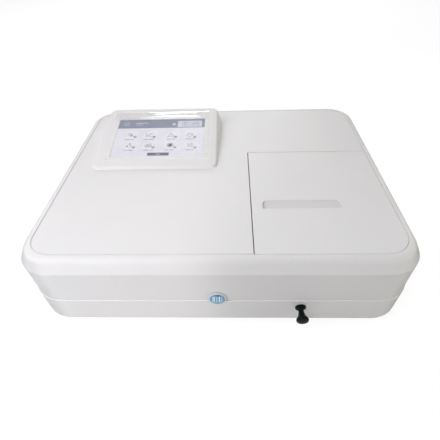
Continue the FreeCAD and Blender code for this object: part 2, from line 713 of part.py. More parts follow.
# ---------------------------------------------------------------- sample compartment
guide_r = 3.0
window_r = 8.0
window_t = 1.5
guide_spots = grid((dim.rod_x - 17.0, dim.rod_x + 17.0), (dim.guide_z,))
part("sample_tub", cut(
    join(tub_slab(0.0, 8.0, dim.tub_z, dim.open_z - dim.tub_z),
         tub_slab(4.0, 8.0, dim.open_z - 2.0, 2.0)),
    tub_slab(-dim.tub_t, 6.0, dim.tub_z + dim.tub_t, 90.0),
    cyl(dim.rod_x, dim.tub_y - 1.0, dim.rod_z, dim.rod_r + 0.3, 5.0, "y"),
    *rearward(guide_spots, dim.tub_y - 1.0, guide_r, dim.tub_l + 2.0),
    cyl(dim.tub_x - 1.0, dim.beam_y, dim.beam_z, window_r, dim.tub_w + 2.0, "x")))
part("beam_windows", group(*[
    cyl(x, dim.beam_y, dim.beam_z, window_r, window_t, "x")
    for x in (dim.tub_x, dim.tub_x + dim.tub_w - window_t)]))
part("guide_rods", group(*rearward(guide_spots, dim.tub_y, guide_r, dim.tub_l)))

# cell carriage: a slide on two rods, carrying a frame of two windowed side plates and five
# cross plates that leave four wells
slide_z = 22.6
frame_z = 36.0
frame_h = 26.0
carriage_rear = carriage_y + dim.carriage_l
slide = slab(dim.rod_x - 23.0, carriage_y, dim.rod_x + 23.0, carriage_rear, 2.0,
             slide_z, frame_z - slide_z)
frame = []
for x in (dim.rod_x - dim.carriage_w / 2, dim.rod_x + dim.cell_well / 2):
    side_plate = box(x, carriage_y, frame_z, (dim.carriage_w - dim.cell_well) / 2,
                     dim.carriage_l, frame_h)
    frame.append(cut(side_plate, *[
        box(x - 1.0, dim.beam_y + dim.cell_pitch * k - 3.5, dim.beam_z - 7.0, 8.0, 7.0, 14.0)
        for k in range(4)]))
well_fronts = [dim.beam_y + dim.cell_pitch * k - dim.cell_well / 2 for k in range(4)]
well_rears = [dim.beam_y + dim.cell_pitch * k + dim.cell_well / 2 for k in range(4)]
for front, rear in zip([carriage_y] + well_rears, well_fronts + [carriage_rear]):
    frame.append(box(dim.rod_x - dim.cell_well / 2, front, frame_z, dim.cell_well, rear - front,
                     frame_h))
# the detent's ball drops into one notch for each cell
detent_x = dim.rod_x + 9.0
detent_y = dim.beam_y + 8.0
detent_r = 2.0
notches = [ball(detent_x, detent_y + dim.cell_pitch * k, slide_z - 1.2, detent_r)
           for k in range(4)]
slide = cut(slide,
            cyl(dim.rod_x, carriage_y - 1.0, dim.rod_z, dim.rod_r, rod_grip + 1.0, "y"),
            *rearward(guide_spots, carriage_y - 1.0, guide_r + dim.run_fit, dim.carriage_l + 2.0),
            *notches)
part("cell_carriage", group(slide, *frame))
part("detent_plunger", join(
    cyl(detent_x, detent_y, dim.tub_z + dim.tub_t, 4.0, 0.9),
    common(ball(detent_x, detent_y, 20.5, detent_r),
           box(dim.rod_x, dim.beam_y, 20.2, 20.0, 20.0, 10.0))))

# ---------------------------------------------------------------- optical plate
plate_hole_r = 2.2
deck_z = dim.plate_z + dim.plate_t
part("optical_plate", cut(
    slab(-dim.plate_w / 2, dim.plate_y, dim.plate_w / 2, dim.plate_y + dim.plate_l, 10.0,
         dim.plate_z, dim.plate_t),
    *upright(plate_spots, 10.0, plate_hole_r, 12.0)))
part("plate_mounts", group(*[
    cut(cyl(x, y, 8.0, 7.5, 4.0), cyl(x, y, 7.0, plate_hole_r, 6.0)) for x, y in plate_spots]))

# ---------------------------------------------------------------- monochromator
mono_right = dim.mono_x + dim.mono_w
lid_of_mono_z = deck_z + dim.mono_h
shaft_r = 2.5
mono_box = cut(
    box(dim.mono_x, dim.mono_y, deck_z, dim.mono_w, dim.mono_l, dim.mono_h),
    box(dim.mono_x + dim.mono_t, dim.mono_y + dim.mono_t, deck_z + 3.0,
        dim.mono_w - 2 * dim.mono_t, dim.mono_l - 2 * dim.mono_t, dim.mono_h),
    cyl(dim.mono_x - 1.0, dim.source_y, dim.beam_z, 6.0, 6.0, "x"),
    cyl(mono_right - 5.0, dim.beam_y, dim.beam_z, 6.0, 6.0, "x"))
part("monochromator_cover", cut(
    box(dim.mono_x, dim.mono_y, lid_of_mono_z, dim.mono_w, dim.mono_l, 2.0),
    cyl(dim.grating_x, dim.grating_y, lid_of_mono_z - 1.0, shaft_r + dim.run_fit, 4.0)))


def slit_plate(x, y):
    return cut(box(x, y - 10.0, dim.beam_z - 10.0, 1.0, 20.0, 20.0),
               box(x - 1.0, y - 0.5, dim.beam_z - 4.0, 3.0, 1.0, 8.0))


part("slit_plates", group(slit_plate(dim.mono_x + dim.mono_t, dim.source_y),
                          slit_plate(mono_right - dim.mono_t - 1.0, dim.beam_y)))


def mirror_at(name, x, y, facing, radius, concave):
    """Makes a round mirror that faces that many degrees from +X in plan; returns its stand."""
    glass_t = 5.0
    curve_r = 119.6
    dish = 1.0
    stand_t = 6.0
    plan_turn = Rotation(Vector(0, 0, 1), facing)
    glass = cyl(0, 0, 0, radius, glass_t)
    if concave:
        glass = cut(glass, ball(0, 0, glass_t - dish + curve_r, curve_r))
    put(glass, x, y, dim.beam_z, plan_turn.multiply(TURNS["x"]))
    part(name, glass)
    cosine, sine = math.cos(math.radians(facing)), math.sin(math.radians(facing))
    stand = box(0, 0, 0, stand_t, 2 * radius + 2, 46.0)
    return put(stand, x - stand_t * cosine + (radius + 1) * sine,
               y - stand_t * sine - (radius + 1) * cosine, deck_z + 2.0,
               Rotation(Vector(0, 0, 1), facing))


stands = [mirror_at("collimating_mirror", 8.0, 196.0, 190.0, 15.0, True),
          mirror_at("focusing_mirror", 8.0, 150.0, 186.0, 15.0, True),
          mirror_at("fold_mirror", -70.0, 96.0, 20.0, 11.0, False)]
part("monochromator_housing", join(mono_box, *stands))

part("grating_table", join(
    cyl(dim.grating_x, dim.grating_y, 33.0, 17.0, 3.0),
    cyl(dim.grating_x, dim.grating_y, 62.0, 17.0, 3.0),
    box(dim.grating_x - 13.0, dim.grating_y - 8.0, 35.0, 3.0, 16.0, 28.0),
    cyl(dim.grating_x, dim.grating_y, 64.0, shaft_r, 30.0)))
part("grating", box(dim.grating_x - 10.0, dim.grating_y - 12.5, 36.2, 6.0, 25.0, 25.6))
# drum and mounting ears sit on the monochromator's cover
part("grating_motor", cut(
    join(cyl(dim.grating_x, dim.grating_y, 82.0, 17.5, 17.0),
         box(dim.grating_x - 23.0, dim.grating_y - 6.0, 82.0, 46.0, 12.0, 1.5)),
    cyl(dim.grating_x, dim.grating_y, 81.0, shaft_r + dim.run_fit, 15.0)))

# ---------------------------------------------------------------- lamp house
lamp_wall = 1.5
lamp_cx = dim.lamp_x + dim.lamp_w / 2
lamp_slots = [box(dim.lamp_x + 10.0, dim.lamp_y + 12.0 + 12.0 * k, deck_z + dim.lamp_h - 3.0,
                  dim.lamp_w - 20.0, 5.0, 6.0) for k in range(8)]
part("lamp_house", cut(
    box(dim.lamp_x, dim.lamp_y, deck_z, dim.lamp_w, dim.lamp_l, dim.lamp_h),
    box(dim.lamp_x + lamp_wall, dim.lamp_y + lamp_wall, deck_z - 1.0,
        dim.lamp_w - 2 * lamp_wall, dim.lamp_l - 2 * lamp_wall, dim.lamp_h - 0.5),
    cyl(dim.lamp_x + dim.lamp_w - 3.0, dim.source_y, dim.beam_z, 9.0, 5.0, "x"), *lamp_slots))
# lamp profiles: radius, height above the optical plate
tungsten_profile = [
    (0.0, 0.0), (7.0, 0.0), (7.0, 14.0), (5.5, 16.0), (5.5, 36.0), (4.0, 40.0), (1.5, 42.0),
    (0.0, 42.3),
]
deuterium_profile = [
    (0.0, 0.0), (14.0, 0.0), (14.0, 6.0), (12.5, 8.0), (12.5, 46.0), (10.0, 54.0), (4.0, 58.5),
    (0.0, 59.5),
]
part("tungsten_lamp", turned(tungsten_profile, lamp_cx, 145.0, deck_z))
part("deuterium_lamp", turned(deuterium_profile, lamp_cx, 220.0, deck_z))

# the mirror between the lamps, on its motor
small_shaft_r = 1.5
mirror_t = 3.0
mirror_w = 16.0
diagonal = math.cos(math.radians(45))
part("source_mirror_motor", cut(
    cyl(lamp_cx, dim.source_y, deck_z, 10.0, 14.0),
    cyl(lamp_cx, dim.source_y, deck_z + 4.0, small_shaft_r + dim.run_fit, 12.0)))
source_glass = box(lamp_cx + (mirror_w - mirror_t) / 2 * diagonal,
                   dim.source_y - (mirror_w + mirror_t) / 2 * diagonal, dim.beam_z - 10.0,
                   mirror_t, mirror_w, 22.0, Rotation(Vector(0, 0, 1), 45))
part("source_mirror", join(
    source_glass,
    cyl(lamp_cx, dim.source_y, deck_z + 5.0, small_shaft_r, 22.0),
    cyl(lamp_cx, dim.source_y, deck_z + 16.0, 5.0, 6.0)))

# ---------------------------------------------------------------- filter wheel
wheel_t = 3.0
wheel_holes = 6
wheel_z = dim.beam_z + dim.wheel_pitch_r
wheel = body("FilterWheel")
pad(wheel, circle(sketch(wheel), 0, 0, dim.wheel_r), wheel_t)
doc.recompute()
aperture = wheel.newObject("PartDesign::Pocket", unique("Pocket"))
aperture.Profile = circle(sketch(wheel, "XY_Plane", wheel_t), 0, dim.wheel_pitch_r,
                          dim.wheel_hole_r)
aperture.Length = wheel_t
wheel.Tip = aperture
doc.recompute()
pattern = wheel.newObject("PartDesign::PolarPattern", "FilterHoles")
pattern.Originals = [aperture]
pattern.Axis = (origin_feature(wheel, "Z_Axis"), [""])
pattern.Angle = 360.0
pattern.Occurrences = wheel_holes
wheel.Tip = pattern
part("filter_wheel", put(
    join(wheel, cyl(0, 0, -2.0, 5.0, 2.5), cyl(0, 0, -14.0, small_shaft_r, 14.0)),
    dim.wheel_x, dim.source_y, wheel_z, "x"))
part("filter_wheel_motor", cut(
    join(cyl(dim.wheel_x - 18.0, dim.source_y, wheel_z, 8.0, 15.0, "x"),
         box(dim.wheel_x - 16.0, dim.source_y - 8.0, deck_z, 8.0, 16.0, wheel_z - deck_z)),
    cyl(dim.wheel_x - 15.0, dim.source_y, wheel_z, small_shaft_r + dim.run_fit, 14.0, "x"),
    cyl(dim.wheel_x - 17.0, dim.source_y, dim.beam_z, 5.0, 12.0, "x")))

# ---------------------------------------------------------------- condenser lens and detector
lens_r = 10.0
part("lens_holder", cut(box(36.0, dim.beam_y - 14.0, deck_z, 10.0, 28.0, 46.0),
                        cyl(35.0, dim.beam_y, dim.beam_z, lens_r, 12.0, "x")))
# each face follows a parabola, 5.2 mm apart on the axis and 1.2 mm at the rim
lens_face = [(lens_r * k / 6.0, -2.6 + 2.0 * (k / 6.0) ** 2) for k in range(7)]
far_face = [(radius, -height) for radius, height in reversed(lens_face)]
part("condenser_lens", turned(lens_face + far_face, 41.0, dim.beam_y, dim.beam_z, "x"))

part("detector_housing", cut(
    box(188.0, dim.beam_y - 18.0, deck_z, 32.0, 36.0, 46.0),
    box(190.0, dim.beam_y - 16.0, deck_z + 2.0, 28.0, 32.0, 42.0),
    cyl(187.0, dim.beam_y, dim.beam_z, 7.0, 4.0, "x")))
part("photodiode_board", join(
    cyl(194.0, dim.beam_y, dim.beam_z, 6.0, 4.0, "x"),
    *[cyl(197.5, dim.beam_y + offset, dim.beam_z, 0.5, 5.0, "x") for offset in (-3.0, 3.0)],
    box(202.0, dim.beam_y - 15.0, deck_z + 4.0, 1.6, 30.0, 38.0)))

# ---------------------------------------------------------------- electronics
board_z = 20.0
board_t = 1.6
CHIPS = [                  # x, y, width, depth, height
    (-150.0, 275.0, 24.0, 24.0, 3.0), (-110.0, 262.0, 14.0, 10.0, 2.0),
    (-60.0, 268.0, 18.0, 18.0, 2.4), (-40.0, 312.0, 14.0, 20.0, 9.0),
    (-160.0, 320.0, 30.0, 8.0, 10.0), (-66.0, 322.0, 12.0, 12.0, 6.0),
]
board = cut(box(-175.0, 253.0, board_z, 160.0, 90.0, board_t),
            *upright(board_spots, board_z - 1.0, 1.7, 4.0))
part("main_board", group(board, *[
    box(x, y, board_z + board_t, width, depth, height) for x, y, width, depth, height in CHIPS]))

supply_case = cut(
    box(45.0, 258.0, 3.0, 130.0, 84.0, 40.0),
    box(46.2, 259.2, 4.2, 127.6, 81.6, 37.6),
    *[box(60.0 + 10.0 * k, 265.0, 40.0, 5.0, 70.0, 6.0) for k in range(10)])
supply_board = join(
    box(50.0, 262.0, 10.0, 120.0, 76.0, 1.6),
    box(60.0, 270.0, 11.5, 34.0, 30.0, 24.0),
    cyl(120.0, 285.0, 11.5, 10.0, 24.0),
    box(140.0, 270.0, 11.5, 20.0, 50.0, 14.0),
    *[box(x, y, 4.2, 6.0, 6.0, 6.0) for x, y in grid((60.0, 154.0), (262.5, 331.0))])
part("power_supply", group(supply_case, supply_board))

# ---------------------------------------------------------------- rear panel
panel_rear = rear_y + dim.panel_t
hole_r = 1.6               # screw holes in the panel and what it carries
panel_cuts = [
    cyl(dim.fan_x, rear_y - 1.0, dim.fan_z, 18.5, 6.0, "y"),
    box(dim.inlet_x - 14.0, rear_y - 1.0, dim.port_z - 10.0, 28.0, 6.0, 20.0),
    box(dim.switch_x - 6.6, rear_y - 1.0, dim.port_z - 9.8, 13.2, 6.0, 19.6),
    box(dim.usb_x - 6.1, rear_y - 1.0, dim.port_z - 5.6, 12.2, 6.0, 11.2),
    box(dim.serial_x - 9.5, rear_y - 1.0, dim.port_z - 5.5, 19.0, 6.0, 11.0),
    *rearward(panel_spots + fan_spots + inlet_spots, rear_y - 1.0, hole_r, 6.0),
]
part("rear_panel", cut(
    slab(-dim.panel_w / 2, rear_y, dim.panel_w / 2, panel_rear, 0.9, dim.panel_z, dim.panel_h),
    *panel_cuts))

# mains inlet: flange, cup and three blades
cup_outline = [            # x, z from the inlet's centre
    (-12.2, -8.2), (12.2, -8.2), (12.2, 4.0), (8.0, 8.2), (-8.0, 8.2), (-12.2, 4.0),
]
cup = prism("XZ_Plane", [(dim.inlet_x + x, dim.port_z + z) for x, z in cup_outline],
            -(rear_y + 6.0), 22.0)
part("mains_inlet", cut(
    join(box(dim.inlet_x - 25.0, panel_rear, dim.port_z - 11.5, 50.0, 2.0, 23.0),
         box(dim.inlet_x - 13.8, rear_y - 18.0, dim.port_z - 9.8, 27.6, 21.0, 19.6)),
    cup, *rearward(inlet_spots, rear_y, hole_r, 6.0)))
part("inlet_blades", group(*[
    box(dim.inlet_x + x - 1.0, rear_y - 16.0, dim.port_z + z - 2.0, 2.0, 13.0, 4.0)
    for x, z in ((-7.0, -2.0), (0.0, 2.0), (7.0, -2.0))]))

# power switch: body with a well, and the rocker that tips in it about a pin along X
rocker_y = rear_y - 1.5
part("power_switch", cut(
    join(box(dim.switch_x - 7.6, panel_rear, dim.port_z - 10.8, 15.2, 1.2, 21.6),
         box(dim.switch_x - 6.4, rear_y - 14.0, dim.port_z - 9.6, 12.8, 16.4, 19.2)),
    box(dim.switch_x - 5.0, rear_y - 6.0, dim.port_z - 8.2, 10.0, 12.0, 16.4),
    cyl(dim.switch_x - 6.0, rocker_y, dim.port_z, 1.0, 12.0, "x")))
rocker_side = [            # y, z from the pin
    (-4.0, -2.0), (-4.0, 2.0), (1.2, 7.2), (4.4, 7.2), (3.1, 0.0), (4.4, -7.2), (1.2, -7.2),
]
rocker = join(prism("YZ_Plane", rocker_side, -4.8, 9.6), cyl(-5.9, 0, 0, 0.95, 11.8, "x"))
put(rocker, dim.switch_x, rocker_y, dim.port_z, Rotation(Vector(1, 0, 0), -7.0))
part("power_rocker", rocker)

part("usb_socket", join(
    cut(box(dim.usb_x - 6.0, rear_y - 14.0, dim.port_z - 5.5, 12.0, 17.0, 11.0),
        box(dim.usb_x - 4.6, rear_y - 9.0, dim.port_z - 4.2, 9.2, 14.0, 8.4)),
    box(dim.usb_x - 2.8, rear_y - 9.5, dim.port_z - 1.6, 5.6, 9.0, 3.2)))

# serial socket: flange and tapered plug face with a row of five holes over a row of four
pin_pitch = 2.75
plug_outline = [(-8.2, -4.1), (8.2, -4.1), (9.2, 4.1), (-9.2, 4.1)]     # x, z from the centre
plug = prism("XZ_Plane", [(dim.serial_x + x, dim.port_z + z) for x, z in plug_outline],
             -(rear_y + 3.9), 13.0)
contact_spots = [(dim.serial_x + first + pin_pitch * k, dim.port_z + z)
                 for first, total, z in ((-5.5, 5, 1.4), (-4.1, 4, -1.4)) for k in range(total)]
part("serial_socket", cut(
    join(box(dim.serial_x - 15.5, panel_rear, dim.port_z - 6.2, 31.0, 1.0, 12.4), plug),
    *rearward(contact_spots, rear_y - 3.0, 0.55, 9.0)))

# ---------------------------------------------------------------- fan and its guard
fan_y = rear_y - 10.2
hub_r = 8.5


def radial_bar(angle, start_r, y, length, depth, height):
    """A bar that runs outward from start_r; the angle turns from +X toward -Z."""
    radians = math.radians(angle)
    return box(dim.fan_x + start_r * math.cos(radians), y,
               dim.fan_z - start_r * math.sin(radians), length, depth, height,
               Rotation(Vector(0, 1, 0), angle))


part("fan_frame", join(
    cut(box(dim.fan_x - dim.fan_size / 2, fan_y, dim.fan_z - dim.fan_size / 2,
            dim.fan_size, 10.0, dim.fan_size),
        cyl(dim.fan_x, fan_y - 1.0, dim.fan_z, 18.8, 13.0, "y"),
        *rearward(fan_spots, fan_y - 1.0, hole_r, 13.0)),
    *[radial_bar(angle, 6.0, fan_y, 14.0, 1.5, 2.0) for angle in (90.0, 210.0, 330.0)],
    cyl(dim.fan_x, fan_y, dim.fan_z, 8.0, 1.5, "y"),
    cyl(dim.fan_x, fan_y, dim.fan_z, small_shaft_r, 7.0, "y")))

hub = cut(cyl(dim.fan_x, fan_y + 2.0, dim.fan_z, hub_r, 7.0, "y"),
          cyl(dim.fan_x, fan_y + 1.0, dim.fan_z, small_shaft_r + dim.run_fit, 6.5, "y"))
blade_count = 7
blade_l, blade_w, blade_t = 10.4, 6.6, 1.0
blades = []
for k in range(blade_count):
    around = Rotation(Vector(0, 1, 0), 360.0 / blade_count * k)
    pitched = around.multiply(Rotation(Vector(1, 0, 0), 55.0))
    # the middle of each blade's root lies 0.9 mm inside the hub's rim
    start = (around.multVec(Vector(hub_r - 0.9, 0, 0))
             - pitched.multVec(Vector(0, blade_w / 2, blade_t / 2)))
    blades.append(box(dim.fan_x + start.x, fan_y + 5.4 + start.y, dim.fan_z + start.z,
                      blade_l, blade_w, blade_t, pitched))
part("fan_rotor", join(hub, *blades))

# guard: three wire rings on two crossed bars, tied to the four screw lugs
wire_r = 0.8
bar_half = 17.0
guard_y = rear_y + 3.0
rings = [ring(dim.fan_x, guard_y, dim.fan_z, radius, wire_r, "y") for radius in (6.0, 11.0, 16.0)]
bars = []
for angle in (45.0, 135.0):
    way = Vector(math.cos(math.radians(angle)), 0, math.sin(math.radians(angle)))
    bars.append(cyl(dim.fan_x - bar_half * way.x, guard_y, dim.fan_z - bar_half * way.z,
                    wire_r, 2 * bar_half, Rotation(Vector(0, 0, 1), way)))
part("fan_guard", cut(
    join(*rings, *bars, *rearward(fan_spots, panel_rear, 3.2, 1.0),
         *[radial_bar(angle, 15.4, panel_rear, 5.4, 1.0, 2.0)
           for angle in (45.0, 135.0, 225.0, 315.0)]),
    *rearward(fan_spots, rear_y, hole_r, 5.0)))

# screws of the panel, the inlet (headless) and the fan
part("rear_screws", group(
    *[join(cyl(x, panel_rear, z, 2.4, 1.2, "y"), cyl(x, rear_y - 4.0, z, 1.25, 6.5, "y"))
      for x, z in panel_spots],
    *rearward(inlet_spots, rear_y - 5.0, 1.5, 8.9),
    *[join(cyl(x, guard_y, z, 2.8, 1.0, "y"), cyl(x, rear_y - 9.0, z, 1.5, 12.5, "y"))
      for x, z in fan_spots]))

# ---------------------------------------------------------------- feet and case screws
foot_profile = [           # radius, height above the table
    (0.0, 0.0), (dim.foot_r - 2.0, 0.0), (dim.foot_r - 1.2, 0.8), (dim.foot_r, dim.foot_height),
    (0.0, dim.foot_height),
]
feet, foot_screws = [], []
for x, y in foot_spots:
    foot = cut(turned(foot_profile, 0, 0, 0), cyl(0, 0, -1.0, 4.2, 8.0), cyl(0, 0, 0, 2.1, 14.0))
    feet.append(put(foot, x, y, -dim.foot_height))
    foot_screws.append(join(
        cyl(x, y, -dim.foot_height + 4.4, 3.9, 2.6),
        cyl(x, y, -dim.foot_height + 6.5, dim.screw_r, dim.foot_height)))
part("rubber_feet", group(*feet))
part("foot_screws", group(*foot_screws))
part("case_screws", group(*[
    join(cyl(x, y, 3.2, 3.8, 2.8), cyl(x, y, 5.8, dim.screw_r, 50.0)) for x, y in case_spots]))

# ---------------------------------------------------------------- checks and output
doc.recompute()
bad = [obj.Label for obj in doc.Objects if "Invalid" in obj.State or "Error" in obj.State]
if bad:
    raise RuntimeError("objects in error: %s" % ", ".join(bad))
aperture_area = math.pi * wheel_holes * dim.wheel_hole_r.value ** 2
wheel_area = math.pi * dim.wheel_r.value ** 2 - aperture_area
if abs(wheel.Shape.Volume - wheel_t * wheel_area) > 5.0:
    raise RuntimeError("the filter wheel's apertures are wrong")
os.makedirs("parts", exist_ok=True)
for name, obj in parts:
    shape = obj.Shape
    if shape.isNull() or not shape.isValid() or not shape.Solids:
        raise RuntimeError("sub-part %s has no valid solid" % name)
    shape.exportStep(os.path.join("parts", name + ".step"))
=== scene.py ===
"""Bench spectrophotometer, standing on the floor plane with its front towards -Y and +Z up.

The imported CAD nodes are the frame. Every node gets its finish here, and the screen's lit graphics,
the wrinkled protective film and the domed badge are added on the case.
"""
import json
import math

import bpy
import bmesh
from mathutils import Matrix, Vector, noise


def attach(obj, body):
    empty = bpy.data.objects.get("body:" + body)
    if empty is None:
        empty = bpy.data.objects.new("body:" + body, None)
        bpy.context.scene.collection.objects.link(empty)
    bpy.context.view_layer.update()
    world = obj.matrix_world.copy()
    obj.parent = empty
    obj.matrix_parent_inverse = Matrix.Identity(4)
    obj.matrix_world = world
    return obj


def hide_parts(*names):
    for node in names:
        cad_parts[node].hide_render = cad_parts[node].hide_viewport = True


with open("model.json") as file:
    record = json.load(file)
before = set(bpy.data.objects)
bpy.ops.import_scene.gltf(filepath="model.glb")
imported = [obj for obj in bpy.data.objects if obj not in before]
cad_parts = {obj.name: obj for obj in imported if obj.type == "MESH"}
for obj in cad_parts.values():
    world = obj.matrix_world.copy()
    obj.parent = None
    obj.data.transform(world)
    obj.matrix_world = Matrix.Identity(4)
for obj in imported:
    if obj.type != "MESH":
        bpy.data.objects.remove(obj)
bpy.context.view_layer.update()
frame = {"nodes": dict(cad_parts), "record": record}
NODE = frame["nodes"]

MM = 0.001
# The screen plane: a point on it (mm), and its slope, rising to the back.
SCREEN_Y, SCREEN_Z = 1.7, 122.2
SLOPE = math.radians(10.0)
SLOPE_COS, SLOPE_SIN = math.cos(SLOPE), math.sin(SLOPE)

# Badge centre (mm): BADGE_Y is the front face it sits on.
BADGE_X, BADGE_Y, BADGE_Z = 0.5, -182.3, 57.2


# ---------------------------------------------------------------- node-tree helper
def shade(colour, factor):
    return tuple(c * factor for c in colour)


class Look:
    """A procedural material, built node by node. Lengths are in metres, in object space."""

    def __init__(self, name):
        self.mat = bpy.data.materials.new(name)
        self.mat.use_nodes = True
        self.tree = self.mat.node_tree
        self.tree.nodes.clear()
        self.out = self.node("OutputMaterial")
        self.coord = self.node("TexCoord").outputs["Object"]

    def node(self, kind, **values):
        """A new node; values go to the inputs of the same name, with _ for a space."""
        node = self.tree.nodes.new("ShaderNode" + kind)
        for key, value in values.items():
            self.put(node.inputs[key.replace("_", " ")], value)
        return node

    def put(self, socket, value):
        if isinstance(value, bpy.types.NodeSocket):
            self.tree.links.new(value, socket)
        elif socket.type == "RGBA":
            socket.default_value = (*value, 1.0)
        else:
            socket.default_value = value

    def scaled(self, *scale):
        return self.node("Mapping", Vector=self.coord, Scale=scale).outputs["Vector"]

    def noise(self, scale, detail=2.0, rough=0.5, vector=None, distortion=0.0):
        return self.node("TexNoise", Scale=scale, Detail=detail, Roughness=rough,
                         Distortion=distortion, Vector=vector or self.coord).outputs["Fac"]

    def voronoi(self, scale, vector=None, feature="F1"):
        cells = self.node("TexVoronoi", Scale=scale, Vector=vector or self.coord)
        cells.feature = feature
        return cells.outputs["Distance"]

    def wave(self, scale, direction):
        bands = self.node("TexWave", Scale=scale, Vector=self.coord)
        bands.bands_direction = direction
        return bands.outputs["Fac"]

    def pixel_grid(self, scale):
        return self.times(self.wave(scale, "X"), self.wave(scale, "Y"))

    def math(self, operation, a, b=0.0, clamp=False):
        node = self.node("Math")
        node.operation = operation
        node.use_clamp = clamp
        self.put(node.inputs[0], a)
        self.put(node.inputs[1], b)
        return node.outputs[0]

    def times(self, first, *others):
        for other in others:
            first = self.math("MULTIPLY", first, other)
        return first

    def remap(self, value, span=(0.3, 0.7), to=(0.0, 1.0)):
        """Clamped linear map of span onto to; the default span is the useful middle of a noise."""
        return self.node("MapRange", Value=value, From_Min=span[0], From_Max=span[1],
                         To_Min=to[0], To_Max=to[1]).outputs["Result"]

    def stripe(self, value, half, soft, peak=1.0):
        """peak where value is within half of zero, falling to 0 over the distance soft."""
        away = self.math("ABSOLUTE", value)
        return self.remap(away, span=(half, half + soft), to=(peak, 0.0))

    def between(self, axis, low, high, soft):
        """1 between low and high along an axis, with soft ends on the inside."""
        return self.times(self.remap(self.axis(axis), span=(low, low + soft)),
                          self.remap(self.axis(axis), span=(high - soft, high), to=(1, 0)))

    def mix(self, factor, a, b):
        node = self.node("Mix")
        node.data_type = "RGBA"
        node.blend_type = "MIX"
        # Inputs 6 and 7 and output 2 are the colour ones.
        for index, value in ((0, factor), (6, a), (7, b)):
            self.put(node.inputs[index], value)
        return node.outputs[2]

    def mix_shaders(self, factor, first, second):
        node = self.node("MixShader")
        for socket, value in zip(node.inputs, (factor, first.outputs[0], second.outputs[0])):
            self.put(socket, value)
        return node

    def axis(self, which):
        return self.node("SeparateXYZ", Vector=self.coord).outputs[which]

    def bump(self, height, distance, strength, under=None):
        node = self.node("Bump", Strength=strength, Distance=distance, Height=height)
        if under is not None:
            self.put(node.inputs["Normal"], under)
        return node.outputs["Normal"]

    def crevice(self, distance):
        node = self.node("AmbientOcclusion", Distance=distance)
        node.samples = 6
        return node.outputs["AO"]

    def rounded(self, radius):
        node = self.node("Bevel", Radius=radius)
        node.samples = 4
        return node.outputs["Normal"]

    def edges(self, radius):
        """0 on flat areas, rising towards 1 along convex and concave edges."""
        dot = self.node("VectorMath")
        dot.operation = "DOT_PRODUCT"
        self.put(dot.inputs[0], self.rounded(radius))
        self.put(dot.inputs[1], self.node("NewGeometry").outputs["Normal"])
        return self.remap(dot.outputs["Value"], span=(1.0, 0.86))

    def surface(self, **values):
        return self.end(self.node("BsdfPrincipled", **values))

    def end(self, shader):
        self.tree.links.new(shader.outputs[0], self.out.inputs["Surface"])
        return self.mat


# ---------------------------------------------------------------- moulded plastic
def add_gap_shade(m, base, colour, gap):
    """Painted shade in the narrow gaps, from ambient occlusion, weaker to the left and at the back.
    """
    gap_shade = m.times(m.remap(m.crevice(distance=0.002), span=(0.10, 0.6), to=(gap, 0)),
                   m.remap(m.axis(0), span=(-0.17, 0.0), to=(0.35, 1)),
                   m.remap(m.axis(1), span=(0.015, 0.035), to=(1, 0.1)))
    return m.mix(gap_shade, base, shade(colour, 0.5))


def add_side_shade(m, base, colour, rim, corner, seam):
    """Painted shade on the outer sides seen at a slant and on the left corner, and a painted
    highlight as a pale seam line.
    """
    # Painted shade: sides facing left or right are darker, more so when seen at a slant
    slant = m.node("LayerWeight", Blend=0.5)
    normal = m.node("SeparateXYZ", Vector=m.node("NewGeometry").outputs["Normal"])
    side = m.math("MAXIMUM", m.remap(normal.outputs[0], span=(0.30, 0.80), to=(0, rim)),
                  m.remap(normal.outputs[0], span=(-0.30, -0.80), to=(0, rim * 0.6)))
    side = m.times(side, m.remap(m.math("ABSOLUTE", m.axis(0)), span=(0.16, 0.20)))
    # Painted shade: the front-left corner is darker
    if corner:
        turn = m.times(m.remap(normal.outputs[0], span=(-0.05, -0.32)),
                       m.remap(normal.outputs[2], span=(0.80, 0.40)),
                       m.remap(m.axis(0), span=(-0.165, -0.195), to=(0, corner)))
        base = m.mix(turn, base, shade(colour, 0.5))
    # Painted highlight: a pale line along the seam
    if seam:
        height = m.math("SUBTRACT", m.axis(2), seam)
        line = m.times(m.stripe(height, half=0.0002, soft=0.0005, peak=0.35),
                       m.remap(m.axis(0), span=(-0.04, 0.02), to=(0, 0.3)))
        base = m.mix(line, base, shade(colour, 1.10))
    side = m.times(side, m.remap(slant.outputs["Facing"], span=(0.36, 0.78)))
    return m.mix(side, base, shade(colour, 0.32))


def add_recess_shade(m, base, colour, x, y, top, amount):
    """Painted shade: darkens a box-shaped recess below the height top."""
    inside = m.times(m.between(0, *x, soft=0.0005), m.between(1, *y, soft=0.0005),
                     m.remap(m.axis(2), span=(top, top - 0.0008), to=(0, amount)))
    return m.mix(inside, base, shade(colour, 0.5))


